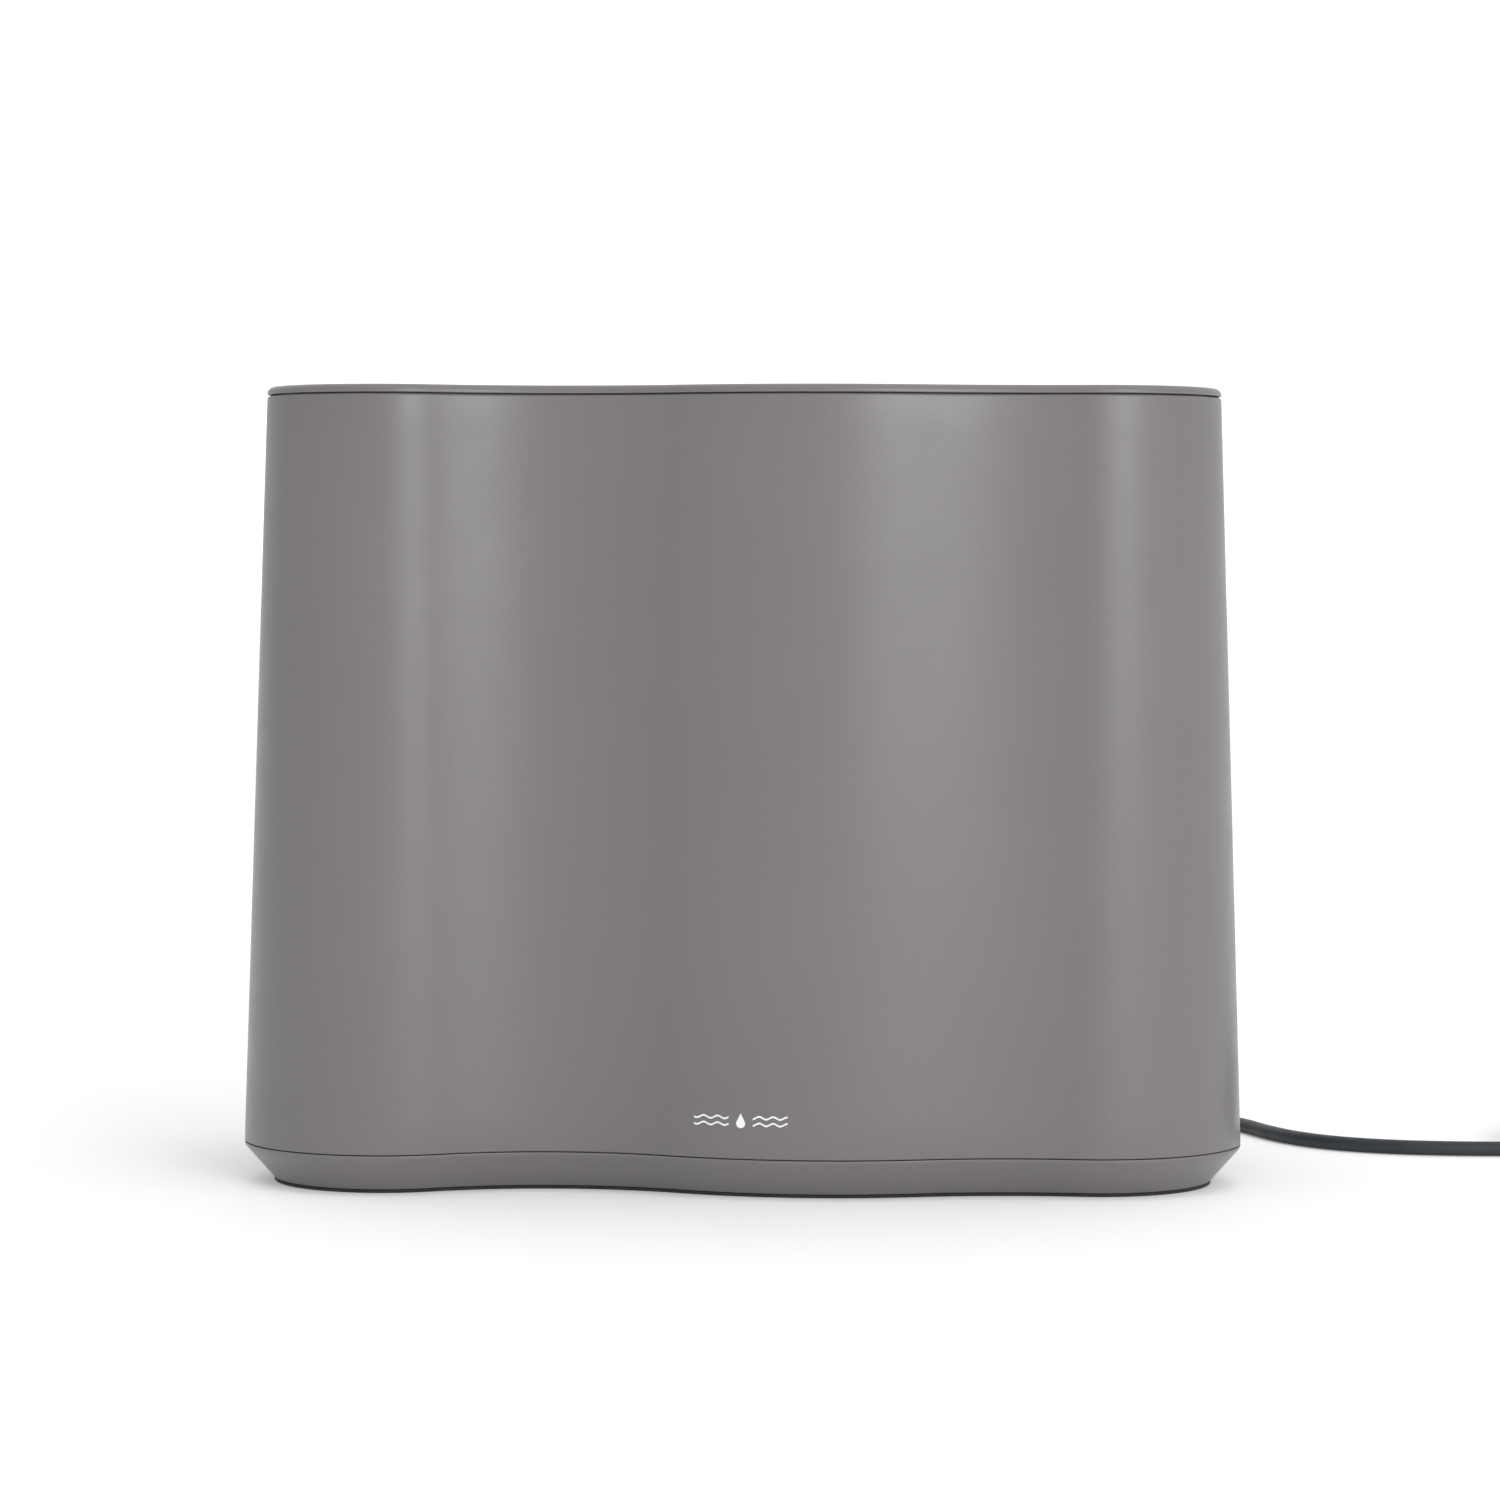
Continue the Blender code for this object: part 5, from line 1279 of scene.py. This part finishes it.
def make_control_bezel():
    flange = rectangle(60, 26, 8, 8)
    body = prism(flange, 1.8, facing_back(PANEL_X, PANEL_BACK_Y, PANEL_Z), edge=0.3)
    bezel = Piece("control_bezel", body)
    window = rectangle(51.4, 19.4, 9.6, 12)
    bezel.join(prism(window, PANEL_FACE_Y - 91, facing_back(PANEL_X, 91, PANEL_Z), edge=0.6))
    bezel.join(towards_back(PANEL_POSTS, PANEL_Z, SWITCH_Y, 91.5, 2.2, 24))
    holes = towards_back([x for _, x in BUTTONS], PANEL_Z, 88, 99, BUTTON_RADIUS + 0.4, 64)
    holes += towards_back((PANEL_X,), PANEL_Z, 88, 99, 2.1, 32)
    bezel.cut(holes).done("dark_plastic")


def make_buttons():
    flange = PANEL_BACK_Y - GAP - PANEL_FACE_Y
    radius = BUTTON_RADIUS
    corners = (
        (0, 1), (5.2, 1.05, 2), (6.4, 1.4, 0.4), (radius, 1.1, 0.4), (radius, flange),
        (radius + 1.8, flange, 0.2), (radius + 1.8, flange - 1.5, 0.2), (0, flange - 1.5),
    )
    for name, x in BUTTONS:
        turned(f"{name}_button", "case", corners, lying_back(x, PANEL_FACE_Y, PANEL_Z), sides=80)
        make_icon(name, x)
        low, high = (x - 3, SWITCH_Y, PANEL_Z - 3), (x + 3, SWITCH_Y + 2.4, PANEL_Z + 3)
        switch = Piece(f"{name}_switch", block(low, high, 0.3))
        switch.join(towards_back((x,), PANEL_Z, SWITCH_Y + 1, 86.8, 1.7, 32)).done("dark_plastic")


def make_icon(name, x):
    """The plain pictogram printed on a button: an on-off ring and bar, or a drop."""
    shapes = [drop_outline(0, -0.7, 1.5)]
    if name == "power":
        outer = [polar((0, 0), 2.4, a) for a in evenly(radians(125), radians(415), 0.15)]
        inner = [(px * 0.8, py * 0.8) for px, py in outer]
        shapes = [outer + inner[::-1], [(-0.25, 0.6), (0.25, 0.6), (0.25, 2.7), (-0.25, 2.7)]]
    face = facing_back(x, PANEL_FACE_Y + 1.03, PANEL_Z)
    bm = gathered([prism(points, PRINT_THICK, face) for points in shapes])
    face_outward(bm)
    Piece(None, bm, f"{name}_icon").beside_body(f"{name}_key", "inner_plastic", "print_white")


def make_control_board():
    low = (PANEL_X - 32, CONTROL_BOARD_Y, PANEL_Z - 12)
    high = (PANEL_X + 32, CONTROL_BOARD_Y + CONTROL_BOARD_THICK, PANEL_Z + 12)
    board = Piece("control_board", block(low, high, 0.25))
    board.cut(towards_back(PANEL_POSTS, PANEL_Z, 80, 86, 1.2, 24)).done("board")
    pipe = ((0, 12), (1.8, 12, 0.8), (1.8, 0), (0, 0))
    place = lying_back(PANEL_X, 84.2, PANEL_Z)
    turned("light_pipe", "tank_plastic", pipe, place, steps=6, sides=40)


def make_dc_jack():
    corners = (
        (0, -14), (2.9, -14), (2.9, 0, 0.3), (6, 0, 0.5), (6, -2.3),
        (8, -2.3, 0.3), (8, -4.5, 0.3), (6, -4.5), (6, -18.3, 0.5), (0, -18.3),
    )
    turned("dc_jack", "dark_plastic", corners, lying_back(JACK_X, JACK_FACE_Y, JACK_Z))


# ---- plug, tie and adapter


def ribbed_relief(length, start_radius, end_radius, place):
    """A tapered sleeve with rings cut in it so that it bends with the lead."""
    corners = [(0, 0), (start_radius, 0, 0.2)]
    step = length / (RELIEF_RINGS + 0.5)
    for i in range(RELIEF_RINGS):
        along = step * (i + 0.5)
        radius = start_radius + (end_radius - start_radius) * along / length
        depth = min(0.75, radius - LEAD_RADIUS + 0.2)
        corners += [
            (radius, along, 0.2), (radius - depth, along + 0.1 * step, 0.2),
            (radius - depth, along + 0.45 * step, 0.2), (radius, along + 0.55 * step, 0.2),
        ]
    corners += [(end_radius, length, 0.2), (0, length)]
    return lathe(corners, place, steps=3, sides=48)


def make_dc_plug():
    """A right-angled barrel plug: the barrel goes in along -Y and the lead leaves along +X."""
    start, end = JACK_FACE_Y + 0.7, PLUG_AXIS_Y + 5.2
    body = ((0, end), (5.4, end, 1.6), (5.4, start, 0.5), (0, start))
    plug = Piece("dc_plug", lathe(body, lying_back(JACK_X, 0, JACK_Z), steps=6, sides=64))
    plug.join(rod((JACK_X, PLUG_AXIS_Y, JACK_Z), (JACK_X + 12.4, PLUG_AXIS_Y, JACK_Z), 4.6, 64))
    sideways = at(JACK_X + 12, PLUG_AXIS_Y, JACK_Z) @ turn(90, "Y")
    plug.join(ribbed_relief(RELIEF_END_X - JACK_X - 12, 4.2, 3, sideways)).done("dark_plastic")
    length = JACK_FACE_Y + 0.4 - BARREL_END_Y
    barrel = ((1.2, 0, 0.2), (2.6, 0, 0.3), (2.6, length), (0, length), (0, 6), (1.2, 6))
    turned("plug_barrel", "steel", barrel, lying_back(JACK_X, BARREL_END_Y, JACK_Z), sides=48)


def make_coil_tie():
    """A strap drawn round the coil's turns, with its end laid back over itself."""
    rounds = (
        (COIL_RADII[3], COIL_HEIGHTS[0], 180, 270), (COIL_RADII[0], COIL_HEIGHTS[0], 270, 360),
        (COIL_RADII[0], COIL_HEIGHTS[2], 0, 125), (COIL_RADII[3], COIL_HEIGHTS[1], 125, 180),
    )
    outer_reach, half_width = TIE_REACH + TIE_THICK, TIE_WIDTH / 2
    inner, outer = [
        [
            polar(centre, reach, a)
            for *centre, first, last in rounds
            for a in evenly(radians(first), radians(last), radians(9))
        ]
        for reach in (TIE_REACH, outer_reach)
    ]
    bm = bmesh.new()
    loops = ((inner, -half_width), (outer, -half_width), (outer, half_width), (inner, half_width))
    sides = [[bm.verts.new((x, y, z)) for x, z in loop] for loop, y in loops]
    for low, high in zip(sides, sides[1:] + sides[:1]):
        bridge(bm, low, high)
    face_outward(bm)
    place = at(COIL_X, COIL_Y) @ turn(TIE_TURN, "Z")
    strap = Piece("coil_tie", moved(bm, place))
    face = COIL_RADII[0] + outer_reach
    flap = block((face - 0.1, 0.4 - half_width, 4.5), (face + 0.7, half_width - 0.4, 13.5), 0.3)
    strap.join(moved(flap, place)).done("dark_rubber")


def make_wall_adapter():
    half, front, top = ADAPTER_HALF, ADAPTER_FRONT, ADAPTER_TOP
    depth, middle_y = ADAPTER_BACK - ADAPTER_FRONT, (ADAPTER_FRONT + ADAPTER_BACK) / 2
    plan = rectangle(2 * half, depth, 7, 8)
    body = prism(plan, top - ADAPTER_LIFT, at(TAIL_X, middle_y, ADAPTER_LIFT), edge=2.6, segments=5)
    adapter = Piece("wall_adapter", body)
    outside = rectangle(2 * half + 4, depth + 4, 8, 8)
    inside = rectangle(2 * half - 0.9, depth - 0.9, 6.6, 8)
    groove = Piece(None, prism(outside, 0.6, at(TAIL_X, middle_y, TAIL_Z - 0.3)), "groove_tool")
    adapter.cut(groove.cut(prism(inside, 2, at(TAIL_X, middle_y, TAIL_Z - 1))).taken())
    places = [
        (TAIL_X + side * (half + 0.6), y)
        for side in (-1, 1)
        for y in evenly(front + 12, front + 30, 3)
    ]
    adapter.cut(uprights(places, 5, top - 5, 1.1, 16))
    adapter.cut(prism(rectangle(30, 34, 3, 6), 3, at(TAIL_X, middle_y + 4, top - 0.35)))
    relief = ribbed_relief(19, 4.9, 3.1, at(TAIL_X, front + 1, TAIL_Z) @ turn(90, "X"))
    adapter.join(relief).done("dark_plastic")
    for name, side in (("left", -1), ("right", 1)):
        make_adapter_blade(f"adapter_blade_{name}", TAIL_X + side * BLADE_OFFSET)


def make_adapter_blade(node, x):
    corners = ((-3.15, 0), (3.15, 0), (3.15, 16.7, 1.6), (-3.15, 16.7, 1.6))
    across = Matrix(((0, 0, 1, 0), (0, 1, 0, 0), (1, 0, 0, 0), (0, 0, 0, 1)))
    place = at(x - BLADE_THICK / 2, ADAPTER_BACK + GAP, TAIL_Z) @ across
    blade = Piece(node, prism(filleted(corners, 5), BLADE_THICK, place, edge=0.25))
    hole_y = ADAPTER_BACK + 13
    blade.cut(rod((x - 3, hole_y, TAIL_Z), (x + 3, hole_y, TAIL_Z), 1.5, 32)).done("steel")


# ---- studio


def make_studio():
    bm = bmesh.new()
    bmesh.ops.create_grid(bm, x_segments=8, y_segments=8, size=20)
    floor = linked("studio_floor", mesh_of(bm, "studio_floor"))
    floor.data.materials.append(studio_paper())
    make_surroundings()
    make_key_light()
    bpy.context.scene.view_settings.view_transform = "Standard"


def make_surroundings():
    """White all round and above, and greyer in the directions where flags would stand."""
    world = bpy.data.worlds.new("studio")
    bpy.context.scene.world = world
    world.use_nodes = True
    tree = world.node_tree
    tree.nodes["Background"].inputs["Color"].default_value = (1, 1, 1, 1)
    direction = tree.nodes.new("ShaderNodeTexCoord").outputs["Generated"]
    strength = None
    for flag, start, full, left in FLAGS:
        towards = new_node(tree, "ShaderNodeVectorMath", operation="DOT_PRODUCT")
        towards.inputs[1].default_value = flag
        tree.links.new(direction, towards.inputs[0])
        values = {"From_Min": start, "From_Max": full, "To_Min": 1, "To_Max": left}
        level = new_node(tree, "ShaderNodeMapRange", interpolation_type="SMOOTHSTEP", **values)
        tree.links.new(towards.outputs["Value"], level.inputs["Value"])
        product = new_node(tree, "ShaderNodeMath", operation="MULTIPLY")
        product.inputs[1].default_value = SKY
        if strength:
            tree.links.new(strength, product.inputs[1])
        tree.links.new(level.outputs["Result"], product.inputs[0])
        strength = product.outputs["Value"]
    tree.links.new(strength, tree.nodes["Background"].inputs["Strength"])


def make_key_light():
    """A square soft box that faces the object."""
    light = bpy.data.lights.new("key_light", "AREA")
    light.size = KEY_SIZE
    light.energy = KEY_POWER
    aim = Vector(KEY_AIM) - Vector(KEY_PLACE)
    key = linked("key_light", light)
    key.matrix_world = at(*KEY_PLACE) @ aim.to_track_quat("-Z", "Y").to_matrix().to_4x4()


# ---- assembly


make_studio()
make_outer_shell()
make_front_mark()
make_base_shell()
make_foot_ring()
make_base_screws()
make_lid()
make_mist_nozzle()
make_water_tank()
make_mist_chimney()
make_tank_handle()
make_handle_pins()
make_valve()
make_valve_spring()
make_basin_tray()
make_transducer()
make_float()
make_fan_frame()
make_fan_rotor()
make_air_duct()
make_driver_board()
make_inner_wires()
make_control_bezel()
make_buttons()
make_control_board()
make_dc_jack()
make_dc_plug()
make_coil_tie()
make_wall_adapter()
lead = make_lead()
